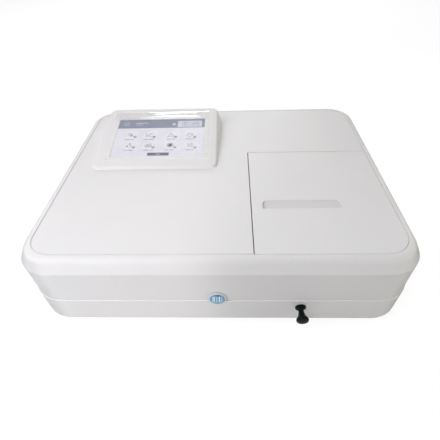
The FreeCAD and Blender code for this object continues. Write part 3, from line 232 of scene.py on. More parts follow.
def moulded(name, colour, rough=0.46, fade=(0.2, 0.2, 0.2), gap=0.18, spec=0.5, rim=0.0,
            corner=0.0, seam=None, dust=0.5, recess=None):
    """Spark-textured plastic: satin grain, flow variation, painted shade in the gaps, polished
    edges; optionally painted shade on the outer sides, the left corner and in a recess, and a
    painted highlight along the seam.
    """
    m = Look(name)
    flow = m.noise(scale=9.0, detail=3.0, rough=0.55, distortion=0.4)
    speck = m.noise(scale=420.0, rough=0.6)
    base = m.mix(m.remap(flow), colour, tuple(c * (1 - f) for c, f in zip(colour, fade)))
    base = m.mix(m.remap(speck, span=(0.35, 0.65), to=(0, 0.035)), base, (dust, dust, dust))
    # Painted shade in the narrow gaps
    base = add_gap_shade(m, base, colour, gap)
    worn = m.edges(radius=0.0012)
    base = m.mix(m.times(worn, 0.05), base, shade(colour, 1.12))
    # Painted shade on the outer sides and the left corner, and a painted highlight along the seam
    if rim:
        base = add_side_shade(m, base, colour, rim, corner, seam)
    # Painted shade inside the recess
    if recess:
        base = add_recess_shade(m, base, colour, **recess)
    fine = m.noise(scale=2600.0, rough=0.6)
    middling = m.noise(scale=900.0)
    grain = m.bump(middling, distance=0.00006, strength=0.35, under=m.rounded(radius=0.0006))
    grain = m.bump(fine, distance=0.00003, strength=0.45, under=grain)
    patches = m.noise(scale=30.0, detail=4.0, rough=0.6)
    roughness = m.math("SUBTRACT", m.remap(patches, to=(rough - 0.04, rough + 0.05)),
                       m.times(worn, 0.10), clamp=True)
    return m.surface(Base_Color=base, Roughness=roughness, Normal=grain, Specular_IOR_Level=spec)


# ---------------------------------------------------------------- metal, clear sheet, gloss
# Noise scales that draw the lines of bare metal along one axis
ALONG_X = (6.0, 900.0, 900.0)
ALONG_Y = (900.0, 6.0, 900.0)


def metal(name, colour, rough, grain):
    """Bare metal with drawn or milled lines along one axis."""
    m = Look(name)
    lines = m.noise(scale=1.0, detail=3.0, rough=0.6, vector=m.scaled(*grain))
    cloud = m.noise(scale=60.0, detail=3.0, rough=0.6)
    base = m.mix(m.remap(lines, to=(0, 0.35)), colour, shade(colour, 0.72))
    # Painted shade in the crevices, from ambient occlusion
    gaps = m.remap(m.crevice(distance=0.004), span=(0.2, 0.9), to=(0.5, 0))
    base = m.mix(gaps, base, shade(colour, 0.25))
    roughness = m.math("ADD", m.remap(lines, span=(0.25, 0.75), to=(rough - 0.08, rough + 0.10)),
                       m.remap(cloud, span=(0.35, 0.65), to=(-0.03, 0.05)), clamp=True)
    return m.surface(Base_Color=base, Roughness=roughness, Metallic=1.0,
                     Normal=m.bump(lines, distance=0.00002, strength=0.25))


def clear(name, tint, gloss, rough, haze=0.0, smear=0.06, loose=None):
    """A thin clear sheet whose reflection strengthens at grazing angles.

    loose is a span up the screen's slope (mm) and the change of reflection over it.
    """
    m = Look(name)
    see = m.node("BsdfTransparent", Color=tint)
    cloud = m.noise(scale=45.0, detail=4.0, rough=0.65, distortion=0.6)
    fine = m.noise(scale=700.0)
    roughness = m.remap(cloud, span=(0.35, 0.7), to=(rough, rough + smear))
    normal = m.bump(fine, distance=0.00002, strength=0.15)
    shine = m.node("BsdfGlossy", Roughness=roughness, Normal=normal, Color=(1, 1, 1))
    slant = m.node("LayerWeight", Blend=0.5, Normal=normal)
    edge = m.math("POWER", slant.outputs["Facing"], 4.0)
    # Reflection: 0.04 face on, 0.94 at grazing
    amount = m.math("MULTIPLY", m.math("ADD", m.times(edge, 0.9), 0.04), gloss, clamp=True)
    if loose:
        span, gain = loose
        up_slope = m.math("ADD", m.times(m.axis(1), SLOPE_COS), m.times(m.axis(2), SLOPE_SIN))
        start = (SCREEN_Y * SLOPE_COS + SCREEN_Z * SLOPE_SIN) * MM
        span = [start + s * MM for s in span]
        amount = m.math("MULTIPLY", amount, m.remap(up_slope, span=span, to=gain), clamp=True)
    sheet = m.mix_shaders(amount, see, shine)
    if haze:
        milk = m.node("BsdfDiffuse", Color=(0.94, 0.94, 0.94))
        sheet = m.mix_shaders(m.remap(cloud, to=(haze * 0.5, haze * 1.5)), sheet, milk)
    return m.end(sheet)


def gloss_look():
    """Polished black with fine hair scratches and dust."""
    m = Look("gloss_black")
    colour = (0.0030, 0.0062, 0.0046)
    haze = m.noise(scale=55.0, detail=4.0, rough=0.6)
    hair = m.noise(scale=1.0, detail=3.0, rough=0.7, vector=m.scaled(1400.0, 60.0, 1400.0))
    base = m.mix(m.remap(haze), colour, shade(colour, 1.6))
    dust = m.remap(m.noise(scale=1500.0, detail=1.0), span=(0.68, 0.76), to=(0, 0.05))
    base = m.mix(dust, base, (0.12, 0.12, 0.12))
    roughness = m.math("ADD", m.remap(haze, span=(0.35, 0.7), to=(0.13, 0.22)),
                       m.remap(hair, span=(0.55, 0.7), to=(0, 0.12)), clamp=True)
    return m.surface(Base_Color=base, Roughness=roughness,
                     Normal=m.bump(hair, distance=0.00001, strength=0.4),
                     Specular_IOR_Level=0.10, Coat_Weight=0.04, Coat_Roughness=0.08)


# ---------------------------------------------------------------- inner parts
def foam_look():
    m = Look("foam")
    cell = m.voronoi(scale=1700.0)
    base = m.mix(m.remap(cell, span=(0.1, 0.6)), (0.018, 0.018, 0.019), (0.070, 0.070, 0.072))
    return m.surface(Base_Color=base, Roughness=m.remap(cell, span=(0, 0.6), to=(0.85, 1)),
                     Normal=m.bump(cell, distance=0.0002, strength=0.9), Specular_IOR_Level=0.2)


def rubber_look():
    m = Look("rubber")
    speck = m.noise(scale=900.0, detail=3.0, rough=0.6)
    bloom = m.noise(scale=70.0, detail=4.0, rough=0.6)
    base = m.mix(m.remap(bloom, span=(0.4, 0.75), to=(0, 0.6)),
                 (0.022, 0.022, 0.023), (0.075, 0.074, 0.072))
    return m.surface(Base_Color=base, Roughness=m.remap(speck, to=(0.7, 0.9)),
                     Normal=m.bump(speck, distance=0.00008, strength=0.5),
                     Specular_IOR_Level=0.3)


def anodised_look():
    m = Look("black_metal")
    grain = m.noise(scale=1.0, detail=3.0, rough=0.6, vector=m.scaled(1600.0, 1600.0, 400.0))
    cloud = m.noise(scale=40.0, detail=3.0, rough=0.6)
    worn = m.edges(radius=0.0005)
    base = m.mix(m.remap(cloud), (0.020, 0.020, 0.022), (0.036, 0.035, 0.038))
    base = m.mix(m.times(worn, 0.35), base, (0.34, 0.34, 0.35))
    return m.surface(Base_Color=base, Roughness=m.remap(grain, to=(0.34, 0.5)), Metallic=0.35,
                     Normal=m.bump(grain, distance=0.00003, strength=0.5))


def powder_look():
    """Powder coat with a fine orange peel."""
    m = Look("panel_paint")
    colour = (0.66, 0.66, 0.65)
    peel = m.noise(scale=1100.0)
    wide = m.noise(scale=24.0, detail=3.0)
    worn = m.edges(radius=0.0006)
    base = m.mix(m.remap(wide), colour, shade(colour, 0.97))
    # Painted shade in the crevices, from ambient occlusion
    gaps = m.remap(m.crevice(distance=0.005), span=(0.2, 0.9), to=(0.35, 0))
    base = m.mix(gaps, base, shade(colour, 0.4))
    base = m.mix(m.times(worn, 0.2), base, (0.6, 0.6, 0.6))
    return m.surface(Base_Color=base, Roughness=m.remap(peel, to=(0.38, 0.5)),
                     Normal=m.bump(peel, distance=0.00012, strength=0.5))


def ribbon_look():
    """Flat cable with its cores side by side across X."""
    m = Look("ribbon")
    cores = m.wave(scale=1570.0, direction="X")
    base = m.mix(m.remap(cores, span=(0.2, 0.8)), (0.50, 0.50, 0.49), (0.68, 0.68, 0.67))
    return m.surface(Base_Color=base, Roughness=m.remap(m.noise(scale=300.0), to=(0.4, 0.55)),
                     Normal=m.bump(cores, distance=0.0002, strength=0.8))


def mirror_look():
    m = Look("mirror")
    dust = m.remap(m.noise(scale=1800.0, detail=1.0), span=(0.62, 0.72), to=(0, 0.18))
    base = m.mix(m.noise(scale=30.0, detail=3.0), (0.90, 0.91, 0.93), (0.95, 0.95, 0.955))
    return m.surface(Base_Color=base, Metallic=1.0,
                     Roughness=m.math("ADD", dust, 0.02, clamp=True))


def ruled_look():
    """The grating: fine ruled lines and a spectrum of hues over its height."""
    m = Look("ruled_grating")
    lines = m.wave(scale=9000.0, direction="Z")
    hue = m.node("ValToRGB", Fac=m.remap(m.axis(2), span=(0.05, 0.09)))
    ramp = hue.color_ramp.elements
    ramp[0].color = (0.55, 0.35, 0.80, 1)
    ramp[1].color = (0.90, 0.42, 0.30, 1)
    for place, colour in ((0.3, (0.35, 0.60, 0.92)), (0.55, (0.45, 0.85, 0.52)),
                          (0.78, (0.92, 0.85, 0.38))):
        ramp.new(place).color = (*colour, 1)
    base = m.mix(0.35, (0.86, 0.87, 0.90), hue.outputs[0])
    return m.surface(Base_Color=base, Metallic=1.0,
                     Roughness=m.remap(lines, span=(0, 1), to=(0.05, 0.14)),
                     Normal=m.bump(lines, distance=0.000004, strength=0.5))


def board_look():
    """Green circuit board with tracks and solder pads."""
    m = Look("board")
    cells = m.voronoi(scale=260.0, vector=m.scaled(1, 1, 0.05), feature="DISTANCE_TO_EDGE")
    tracks = m.remap(cells, span=(0.02, 0.05), to=(1, 0))
    pads = m.remap(m.voronoi(scale=330.0, vector=m.scaled(1, 1, 0.05)),
                   span=(0.10, 0.13), to=(1, 0))
    base = m.mix(tracks, (0.010, 0.090, 0.040), (0.022, 0.170, 0.075))
    base = m.mix(pads, base, (0.72, 0.70, 0.62))
    return m.surface(Base_Color=base, Roughness=m.remap(tracks, span=(0, 1), to=(0.30, 0.22)),
                     Normal=m.bump(tracks, distance=0.00004, strength=0.7),
                     Metallic=m.times(pads, 0.8))


def display_look():
    """The display module: a dark anti-glare bezel with faint pixel structure."""
    m = Look("display")
    base = m.mix(m.remap(m.pixel_grid(scale=6280.0), span=(0.1, 0.6)),
                 (0.020, 0.020, 0.024), (0.050, 0.050, 0.058))
    base = m.mix(m.remap(m.noise(scale=80.0), span=(0.4, 0.7), to=(0, 0.3)),
                 base, (0.09, 0.09, 0.10))
    return m.surface(Base_Color=base, Roughness=m.remap(m.noise(scale=400.0), to=(0.30, 0.42)))


# ---------------------------------------------------------------- finishes on the CAD nodes
# gap sets the painted shade in the gaps, rim and corner the painted shade on the outer sides and
# left corner, seam the height of a painted highlight line
SHELL = dict(colour=(0.800, 0.790, 0.784), rough=0.48, spec=0.35, fade=(0.024, 0.020, 0.008))
# Painted shade inside the lid's finger pocket
LID_RECESS_SHADE = dict(x=(0.0570, 0.1564), y=(-0.0905, -0.0731), top=0.1181, amount=0.15)
case_plastic = moulded("case_plastic", rim=0.55, corner=0.34, seam=0.0522, **SHELL)
lid_plastic = moulded("lid_plastic", rim=0.55, recess=LID_RECESS_SHADE, **SHELL)
housing_plastic = moulded("housing_plastic", gap=0.04, **SHELL)
black_plastic = moulded("black_plastic", (0.0042, 0.0092, 0.0062), rough=0.34, gap=0.4,
                        spec=0.12, dust=0.08)
gloss_black = gloss_look()
screen_glass = clear("screen_glass", tint=(0.992, 0.993, 0.995), gloss=0.35, rough=0.04)
clear_film = clear("clear_film", tint=(0.998, 0.998, 0.998), gloss=1.0, rough=0.10, haze=0.035,
                   smear=0.10, loose=((106.5, 110.5), (0.22, 1.5)))
quartz = clear("quartz", tint=(0.93, 0.95, 0.97), gloss=1.6, rough=0.01)
steel = metal("steel", (0.62, 0.62, 0.63), rough=0.26, grain=ALONG_Y)
aluminium = metal("aluminium", (0.74, 0.745, 0.75), rough=0.34, grain=ALONG_X)
brass = metal("brass", (0.80, 0.60, 0.28), rough=0.24, grain=ALONG_Y)
foam = foam_look()
rubber = rubber_look()
black_metal = anodised_look()
panel_paint = powder_look()
ribbon = ribbon_look()
mirror = mirror_look()
ruled = ruled_look()
board = board_look()
display = display_look()

SLOT_LOOK = {
    "case_plastic": case_plastic, "black_plastic": black_plastic, "gloss_black": gloss_black,
    "screen_glass": screen_glass, "display": display, "clear_film": clear_film, "steel": steel,
    "foam": foam, "ribbon": ribbon, "badge": gloss_black, "quartz": quartz,
    "black_metal": black_metal, "aluminium": aluminium, "rubber": rubber, "mirror": mirror,
    "board": board, "panel_paint": panel_paint, "brass": brass,
}
# Nodes whose finish differs from their slot's
NODE_LOOK = {"grating": ruled, "screen_housing": housing_plastic, "sample_lid": lid_plastic}
for part in frame["record"]["subparts"]:
    materials = NODE[part["node"]].data.materials
    look = SLOT_LOOK[part["material_slot"]]
    materials.clear()
    materials.append(NODE_LOOK.get(part["node"], look))


# ---------------------------------------------------------------- second finishes
def islands(mesh):
    """The separate solids, largest box first: (polygon indices, high corner in metres)."""
    root = list(range(len(mesh.vertices)))

    def find(i):
        while root[i] != i:
            root[i] = root[root[i]]
            i = root[i]
        return i

    # Vertices at the same place count as one.
    first_at = {}
    for vertex in mesh.vertices:
        place = tuple(round(c, 6) for c in vertex.co)
        if place in first_at:
            root[find(vertex.index)] = find(first_at[place])
        else:
            first_at[place] = vertex.index
    for polygon in mesh.polygons:
        base = find(polygon.vertices[0])
        for i in polygon.vertices[1:]:
            root[find(i)] = base
    groups = {}
    for polygon in mesh.polygons:
        groups.setdefault(find(polygon.vertices[0]), []).append(polygon.index)
    solids = []
    for polygons in groups.values():
        points = [mesh.vertices[v].co for i in polygons for v in mesh.polygons[i].vertices]
        low = [min(p[axis] for p in points) for axis in range(3)]
        high = [max(p[axis] for p in points) for axis in range(3)]
        volume = (high[0] - low[0]) * (high[1] - low[1]) * (high[2] - low[2])
        solids.append((volume, polygons, high))
    solids.sort(key=lambda solid: -solid[0])
    return [solid[1:] for solid in solids]


def repaint(name, choose):
    """Gives polygons a second finish; choose(rank, high corner, centre) returns it or None."""
    mesh = NODE[name].data
    for rank, (polygons, high) in enumerate(islands(mesh)):
        for i in polygons:
            polygon = mesh.polygons[i]
            mat = choose(rank, high, polygon.center)
            if mat is None:
                continue
            if mat.name not in [m.name for m in mesh.materials]:
                mesh.materials.append(mat)
            polygon.material_index = [m.name for m in mesh.materials].index(mat.name)


def socket_inside(mat, x, half_x, half_z, depth):
    """A chooser for faces inside a socket's mouth, depth being the nearest and farthest (m)."""
    socket_z = 0.078

    def choose(rank, high, centre):
        behind = high[1] - depth[1] < centre[1] < high[1] - depth[0]
        across = abs(centre[0] - x) < half_x and abs(centre[2] - socket_z) < half_z
        return mat if behind and across else None

    return choose


BOARD_METAL_RANKS = (2, 5)   # solids of the main board, by size, that are bare metal
chip = moulded("chip_epoxy", (0.020, 0.020, 0.021), rough=0.5)
socket_insert = moulded("socket_insert", (0.016, 0.030, 0.085), rough=0.4)
repaint("main_board", lambda rank, high, centre: None if rank == 0 else
        (aluminium if rank in BOARD_METAL_RANKS else chip))
repaint("power_supply", lambda rank, high, centre: None if rank == 0 else black_plastic)
repaint("photodiode_board", lambda rank, high, centre: quartz if rank > 0 else None)
repaint("cell_carriage", lambda rank, high, centre: aluminium if rank == 0 else None)
repaint("serial_socket", socket_inside(socket_insert, x=0.005, half_x=0.0105, half_z=0.0052,
                                       depth=(0.0012, 0.009)))
repaint("usb_socket", socket_inside(chip, x=-0.045, half_x=0.0046, half_z=0.0042,
                                    depth=(0.0008, math.inf)))


# ---------------------------------------------------------------- mesh helpers
def new_object(name, verts, faces, mat, smooth=True):
    mesh = bpy.data.meshes.new(name)
    mesh.from_pydata([tuple(v) for v in verts], [], faces)
    mesh.validate()
    mesh.materials.append(mat)
    if smooth:
        for polygon in mesh.polygons:
            polygon.use_smooth = True
    mesh.update()
    obj = bpy.data.objects.new(name, mesh)
    bpy.context.scene.collection.objects.link(obj)
    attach(obj, "case")
    return obj


def face_outwards(obj):
    bm = bmesh.new()
    bm.from_mesh(obj.data)
    bmesh.ops.recalc_face_normals(bm, faces=bm.faces)
    bm.to_mesh(obj.data)
    bm.free()


def on_screen(x, s, up):
    """Place (m) of a point x along the screen, s up its slope and up off it (all mm)."""
    return Vector((x * MM, (SCREEN_Y + s * SLOPE_COS - up * SLOPE_SIN) * MM,
                   (SCREEN_Z + s * SLOPE_SIN + up * SLOPE_COS) * MM))


def circle(x, s, radius, count):
    turns = [2 * math.pi * i / count for i in range(count)]
    return [(x + radius * math.cos(a), s + radius * math.sin(a)) for a in turns]


class Flat:
    """Thin solid artwork between two heights off the screen plane, all in mm."""

    def __init__(self, low, high):
        self.verts, self.faces, self.heights = [], [], (low, high)

    def add_points(self, points):
        """Adds the points at both heights and returns the index of the first."""
        first = len(self.verts)
        for up in self.heights:
            self.verts += [on_screen(x, s, up) for x, s in points]
        return first

    def outline(self, points):
        area = sum(a[0] * b[1] - b[0] * a[1] for a, b in zip(points, points[1:] + points[:1]))
        if area < 0:
            points = points[::-1]
        n, k = len(points), self.add_points(points)
        self.faces.append(tuple(k + i for i in reversed(range(n))))
        self.faces.append(tuple(k + n + i for i in range(n)))
        for i in range(n):
            j = (i + 1) % n
            self.faces.append((k + i, k + j, k + n + j, k + n + i))

    def band(self, inner, outer):
        """A closed ring between two outlines with the same number of points."""
        n, k = len(inner), self.add_points(inner + outer)
        for i in range(n):
            j = (i + 1) % n
            a, b, c, d = k + i, k + j, k + n + j, k + n + i
            self.faces += [(a, b, c, d),
                           (a + 2 * n, d + 2 * n, c + 2 * n, b + 2 * n),
                           (b, a, a + 2 * n, b + 2 * n),
                           (d, c, c + 2 * n, d + 2 * n)]

    def rect(self, x0, s0, x1, s1, r=0.0):
        """A rectangle, with corners of radius r in 15 degree steps."""
        if r <= 0:
            self.outline([(x0, s0), (x1, s0), (x1, s1), (x0, s1)])
            return
        points = []
        for x, s, start in ((x1 - r, s0 + r, -90), (x1 - r, s1 - r, 0),
                            (x0 + r, s1 - r, 90), (x0 + r, s0 + r, 180)):
            for i in range(7):
                a = math.radians(start + 15 * i)
                points.append((x + r * math.cos(a), s + r * math.sin(a)))
        self.outline(points)

    def disc(self, x, s, radius):
        self.outline(circle(x, s, radius, 28))

    def ring(self, x, s, radius, width):
        self.band(circle(x, s, radius - width, 32), circle(x, s, radius, 32))

    def gear(self, x, s, radius, width):
        """A ring whose outer points stand out two by two as teeth."""
        root = circle(x, s, radius, 24)
        tip = circle(x, s, radius + width * 0.7, 24)
        outer = [tip[i] if (i // 2) % 2 else root[i] for i in range(24)]
        self.band(circle(x, s, radius - width, 24), outer)

    def stroke(self, points, width):
        """A line along the points, offset to both sides by half its width."""
        left, right = [], []
        for i, (x, s) in enumerate(points):
            before, after = points[max(i - 1, 0)], points[min(i + 1, len(points) - 1)]
            dx, ds = after[0] - before[0], after[1] - before[1]
            length = math.hypot(dx, ds)
            nx, ns = -ds / length * width / 2, dx / length * width / 2
            left.append((x + nx, s + ns))
            right.append((x - nx, s - ns))
        loop = left + right[::-1]
        m, k = len(loop), self.add_points(loop)
        for i in range(len(points) - 1):
            a, b, c, d = k + i, k + i + 1, k + m - 2 - i, k + m - 1 - i
            self.faces.append((a, b, c, d))
            self.faces.append((m + d, m + c, m + b, m + a))
        for i in range(m):
            j = (i + 1) % m
            self.faces.append((k + j, k + i, k + m + i, k + m + j))

    def made(self, name, mat):
        face_outwards(new_object(name, self.verts, self.faces, mat, smooth=False))


# ---------------------------------------------------------------- lit screen
def lit(name, colour):
    """Backlit liquid-crystal colour: mostly its own light, with a fine grid and unevenness."""
    m = Look(name)
    cloud = m.remap(m.noise(scale=14.0, detail=3.0), to=(0.97, 1.03))
    grid = m.pixel_grid(scale=8000.0)
    colour = m.mix(m.remap(grid, span=(0, 0.5)), shade(colour, 0.94), colour)
    return m.surface(Base_Color=m.mix(0.75, colour, (0, 0, 0)),
                     Roughness=m.remap(grid, span=(0, 1), to=(0.35, 0.5)),
                     Specular_IOR_Level=0.2, Emission_Color=colour,
                     Emission_Strength=m.times(cloud, 0.78))


UI = {name: lit("ui_" + name, colour) for name, colour in (
    ("back", (0.790, 0.772, 0.840)), ("bar", (0.262, 0.278, 0.366)),
    ("box", (0.630, 0.648, 0.745)), ("mark", (0.345, 0.330, 0.375)),
    ("mark_dark", (0.095, 0.090, 0.108)), ("button", (0.170, 0.152, 0.220)),
    ("pale", (0.560, 0.575, 0.680)), ("tile", (0.822, 0.806, 0.868)),
)}

# Screen window, in mm along x and up the slope
WINDOW_X0, WINDOW_X1, WINDOW_S0, WINDOW_S1 = -166.0, -25.0, 19.39, 110.39
LINE = 0.9   # width of drawn lines


def panel(name, mat, heights, rect):
    """One rounded rectangle: x0, s0, x1, s1, corner radius."""
    art = Flat(*heights)
    art.rect(*rect)
    art.made(name, mat)


# Strokes of each digit used, and the strokes' ends as parts of the digit's width and height
DIGIT_STROKES = {"0": "abcdef", "1": "bc", "2": "abged", "5": "afgcd"}
STROKE_ENDS = {
    "a": (0, 1, 1, 1), "b": (1, 0.5, 1, 1), "c": (1, 0, 1, 0.5), "d": (0, 0, 1, 0),
    "e": (0, 0, 0, 0.5), "f": (0, 0.5, 0, 1), "g": (0, 0.5, 1, 0.5),
}


def draw_digit(art, digit, x, s):
    width, height, half = 4.0, 8.0, 0.45
    for key in DIGIT_STROKES[digit]:
        x0, s0, x1, s1 = STROKE_ENDS[key]
        art.rect(x + x0 * width - half, s + s0 * height - half,
                 x + x1 * width + half, s + s1 * height + half)


def clock_digits():
    start_x, pitch, base = -65.0, 6.7, 93.7
    art = Flat(-0.62, -0.58)
    for i, character in enumerate("10:25"):
        if character == ":":
            art.disc(-49.6, 95.6, 0.7)
            art.disc(-49.6, 99.6, 0.7)
        else:
            draw_digit(art, character, start_x + i * pitch, base)
    art.made("ui_clock_digits", UI["mark"])


def title_marks():
    """A ticked ring, two plain rules and a small lamp."""
    art = Flat(-0.68, -0.64)
    art.ring(-153.0, 99.0, 4.6, LINE)
    art.stroke([(-155.2, 99.0), (-153.6, 97.0), (-150.8, 101.2)], LINE)
    art.rect(-138.6, 100.3, -118.0, 102.2, 0.8)
    art.rect(-138.6, 96.2, -126.0, 97.4, 0.5)
    art.disc(-75.0, 97.2, 3.0)
    art.made("ui_title_marks", UI["pale"])


def draw_cell(art, x, s):
    """Tilted sample cell, part full."""
    c, sn = math.cos(0.75), math.sin(0.75)

    def box(half, low, high):
        corners = ((-half, low), (half, low), (half, high), (-half, high))
        return [(x + c * a - sn * b, s + sn * a + c * b) for a, b in corners]

    art.band(box(1.7, -3.7, 3.7), box(2.6, -4.6, 4.6))
    art.outline(box(1.2, -3.3, 0.4))


def draw_curve(art, x, s):
    """Working curve on two axes."""
    art.stroke([(x - 5, s + 4.5), (x - 5, s - 4.5), (x + 5.5, s - 4.5)], LINE)
    art.stroke([(x - 3.6, s - 3.0), (x + 4.2, s + 3.6)], LINE)
    for a, b in ((-2.2, -1.2), (0.6, 0.2), (3.0, 3.0)):
        art.disc(x + a, s + b, 1.0)


def draw_peak(art, x, s):
    """Absorption peak with a shoulder, over a base line."""
    def height(i):
        peak = 8.0 * math.exp(-((i - 9) / 3.6) ** 2)
        return s - 3.6 + peak + 2.6 * math.exp(-((i - 16) / 2.0) ** 2)

    art.stroke([(x - 5.5 + i * 0.55, height(i)) for i in range(21)], LINE)
    art.rect(x - 5.8, s - 4.9, x + 5.8, s - 4.2)


def draw_dial(art, x, s):
    """Timed run: a dial with two hands."""
    art.ring(x, s, 4.8, LINE)
    art.stroke([(x, s + 3.2), (x, s), (x + 2.4, s - 1.2)], LINE)


def draw_molecules(art, x, s):
    """Linked molecules."""
    balls = ((-3.0, -2.4, 1.7), (0.6, 3.2, 1.5), (3.2, -2.0, 1.3))
    for a, b, radius in balls:
        art.disc(x + a, s + b, radius)
    art.stroke([(x + a, s + b) for a, b, _ in balls], 0.7)


def draw_bars(art, x, s):
    """Several wavelengths as bars."""
    for i, height in enumerate((5.0, 8.4, 6.4, 9.2, 4.2)):
        art.rect(x - 5.2 + i * 2.3, s - 4.6, x - 3.9 + i * 2.3, s - 4.6 + height)


def draw_dark_current(art, x, s):
    """Dark current: a solid disc in a ring."""
    art.disc(x, s, 2.9)
    art.ring(x, s, 4.9, LINE)


def draw_sliders(art, x, s):
    """Settings: three sliders."""
    for i, knob in enumerate((2.0, -1.6, 3.2)):
        art.rect(x - 5.2, s + 3.0 - i * 3.2, x + 5.2, s + 3.7 - i * 3.2)
        art.disc(x + knob, s + 3.35 - i * 3.2, 1.15)


# Menu: drawing, icon centre, label centre, widths of the label's two words
MENU = [
    (draw_cell, (-142.6, 72.4), (-143, 60.6), (9, 4)),
    (draw_curve, (-112.0, 71.7), (-111, 60.6), (5, 9)),
    (draw_peak, (-77.5, 70.8), (-77, 60.5), (7, 5)),
    (draw_dial, (-47.2, 70.0), (-47, 60.4), (10, 3)),
    (draw_molecules, (-140.6, 47.4), (-140, 35.6), (4, 8)),
    (draw_bars, (-110.0, 46.7), (-109, 35.6), (8, 5)),
    (draw_dark_current, (-76.5, 46.4), (-77, 35.4), (6, 7)),
    (draw_sliders, (-45.5, 45.2), (-45.5, 35.2), (7, 4)),
]


def menu_tiles():
    tiles = Flat(-0.74, -0.71)
    for _, (x, s), _, _ in MENU:
        tiles.rect(x - 9.5, s - 9.0, x + 13.0, s + 9.0, 2.5)
    tiles.made("ui_tiles", UI["tile"])


def menu_icons():
    """Icons, a small gear at the lower right of each, and the labels as two bars."""
    marks, dark = Flat(-0.70, -0.66), Flat(-0.70, -0.66)
    for draw, centre, _, _ in MENU:
        draw(dark if draw is draw_dark_current else marks, *centre)
    for _, (x, s), _, _ in MENU:
        dark.gear(x + 7.9, s - 5.2, 1.9, LINE)
    gap, half_height, corner = 1.6, 0.75, 0.6
    for _, _, (x, s), (first, second) in MENU:
        half = (first + second + gap) / 2
        low, high = s - half_height, s + half_height
        marks.rect(x - half, low, x - half + first, high, corner)
        marks.rect(x + half - second, low, x + half, high, corner)
    marks.made("ui_icons", UI["mark"])
    dark.made("ui_icon_dark", UI["mark_dark"])


panel("ui_background", UI["back"], (-0.83, -0.75),
      (WINDOW_X0 + 0.02, WINDOW_S0 + 0.02, WINDOW_X1 - 0.02, WINDOW_S1 - 0.02, 0.4))
panel("ui_title_bar", UI["bar"], (-0.74, -0.69),
      (WINDOW_X0 + 0.1, 88.3, WINDOW_X1 - 0.1, WINDOW_S1 - 0.2, 0.3))
panel("ui_clock_box", UI["box"], (-0.68, -0.63), (-69.0, 90.0, -29.6, 105.4, 0.8))
menu_tiles()
clock_digits()
title_marks()
menu_icons()
panel("ui_button", UI["button"], (-0.74, -0.70), (-109.5, 23.2, -76.6, 29.8, 0.9))
panel("ui_button_mark", UI["pale"], (-0.69, -0.66), (-96.0, 25.6, -90.2, 27.4, 0.8))

# ---------------------------------------------------------------- protective film
# Extent (mm along x and up the slope) and number of cells each way
FILM_X0, FILM_X1, FILM_S0, FILM_S1 = -173.4, -17.6, 15.0, 127.8
FILM_COLUMNS, FILM_ROWS = 150, 110
FILM_THICKNESS = 0.08


def hump(distance, width):
    return math.exp(-(distance / width) ** 2)


def taper(x, middle, reach):
    return max(0.0, 1 - ((x - middle) / reach) ** 4)


def curl(x, s, corner_x, corner_s, reach):
    return max(0.0, 1 - math.hypot((x - corner_x) / reach, (s - corner_s) / reach)) ** 2


def film_height(x, s):
    """Height of the film off the screen plane (mm)."""
    # 0 where it lies flat, 1 on the loose strip at the back
    free = max(0.0, min(1.0, (s - 108.5) / 6.0))
    # Two wavy ridges across the loose strip and one crease running up it
    front_ridge = hump(s - 113.5 - 1.2 * math.sin(x * 0.06), 2.6) * taper(x, -83.0, 56.0)
    back_ridge = hump(s - 121.5 - 2.4 * math.sin((x + 96.0) * 0.045), 2.2)
    back_ridge *= taper(x, -78.0, 42.0)
    crease = hump(x + 49.5 - 0.12 * (s - 112.0), 1.5) * free
    # Broad and fine ripples, stronger where loose
    ripple = (noise.noise(Vector((x * 0.05, s * 0.09, 3.1))) * 0.5
              + noise.noise(Vector((x * 0.16, s * 0.22, 7.7))) * 0.22) * (0.25 + 0.75 * free)
    up = (0.32 + 0.10 * ripple + (1.15 * front_ridge + 0.75 * back_ridge + 0.8 * crease)
          + free * (0.22 + 0.35 * ripple))
    # The back edge lifts, and the right back and left front corners curl up.
    lift = max(0.0, ((s - FILM_S0) / (FILM_S1 - FILM_S0) - 0.985) / 0.015)
    curls = curl(x, s, FILM_X1, FILM_S1, 16.0) + curl(x, s, FILM_X0, FILM_S0, 12.0)
    return max(0.14, up + 0.15 * lift + 1.1 * curls)


def protective_film():
    verts, faces = [], []
    for j in range(FILM_ROWS + 1):
        s = FILM_S0 + (FILM_S1 - FILM_S0) * j / FILM_ROWS
        for i in range(FILM_COLUMNS + 1):
            x = FILM_X0 + (FILM_X1 - FILM_X0) * i / FILM_COLUMNS
            verts.append(on_screen(x, s, film_height(x, s)))
    stride = FILM_COLUMNS + 1
    for j in range(FILM_ROWS):
        for i in range(FILM_COLUMNS):
            k = j * stride + i
            faces.append((k, k + 1, k + stride + 1, k + stride))
    film = new_object("protective_film", verts, faces, clear_film)
    sheet = film.modifiers.new("sheet", "SOLIDIFY")
    sheet.thickness = FILM_THICKNESS * MM
    sheet.offset = -1.0
    film.visible_shadow = False
    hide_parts("screen_film")


protective_film()

# ---------------------------------------------------------------- badge
# Line spectrum, in metres from the badge centre: pale bars (x, half width, strength)
PALE_BARS = [
    (-0.0056, 0.00042, 0.75), (-0.0037, 0.00080, 1.0), (-0.0012, 0.00045, 0.85),
    (0.0006, 0.00030, 0.6), (0.0026, 0.00095, 1.0), (0.0052, 0.00050, 0.8),
]
# and deep blue lines (x, half width)
DEEP_LINES = [(-0.0024, 0.00028), (0.0015, 0.00022), (0.0041, 0.00030)]


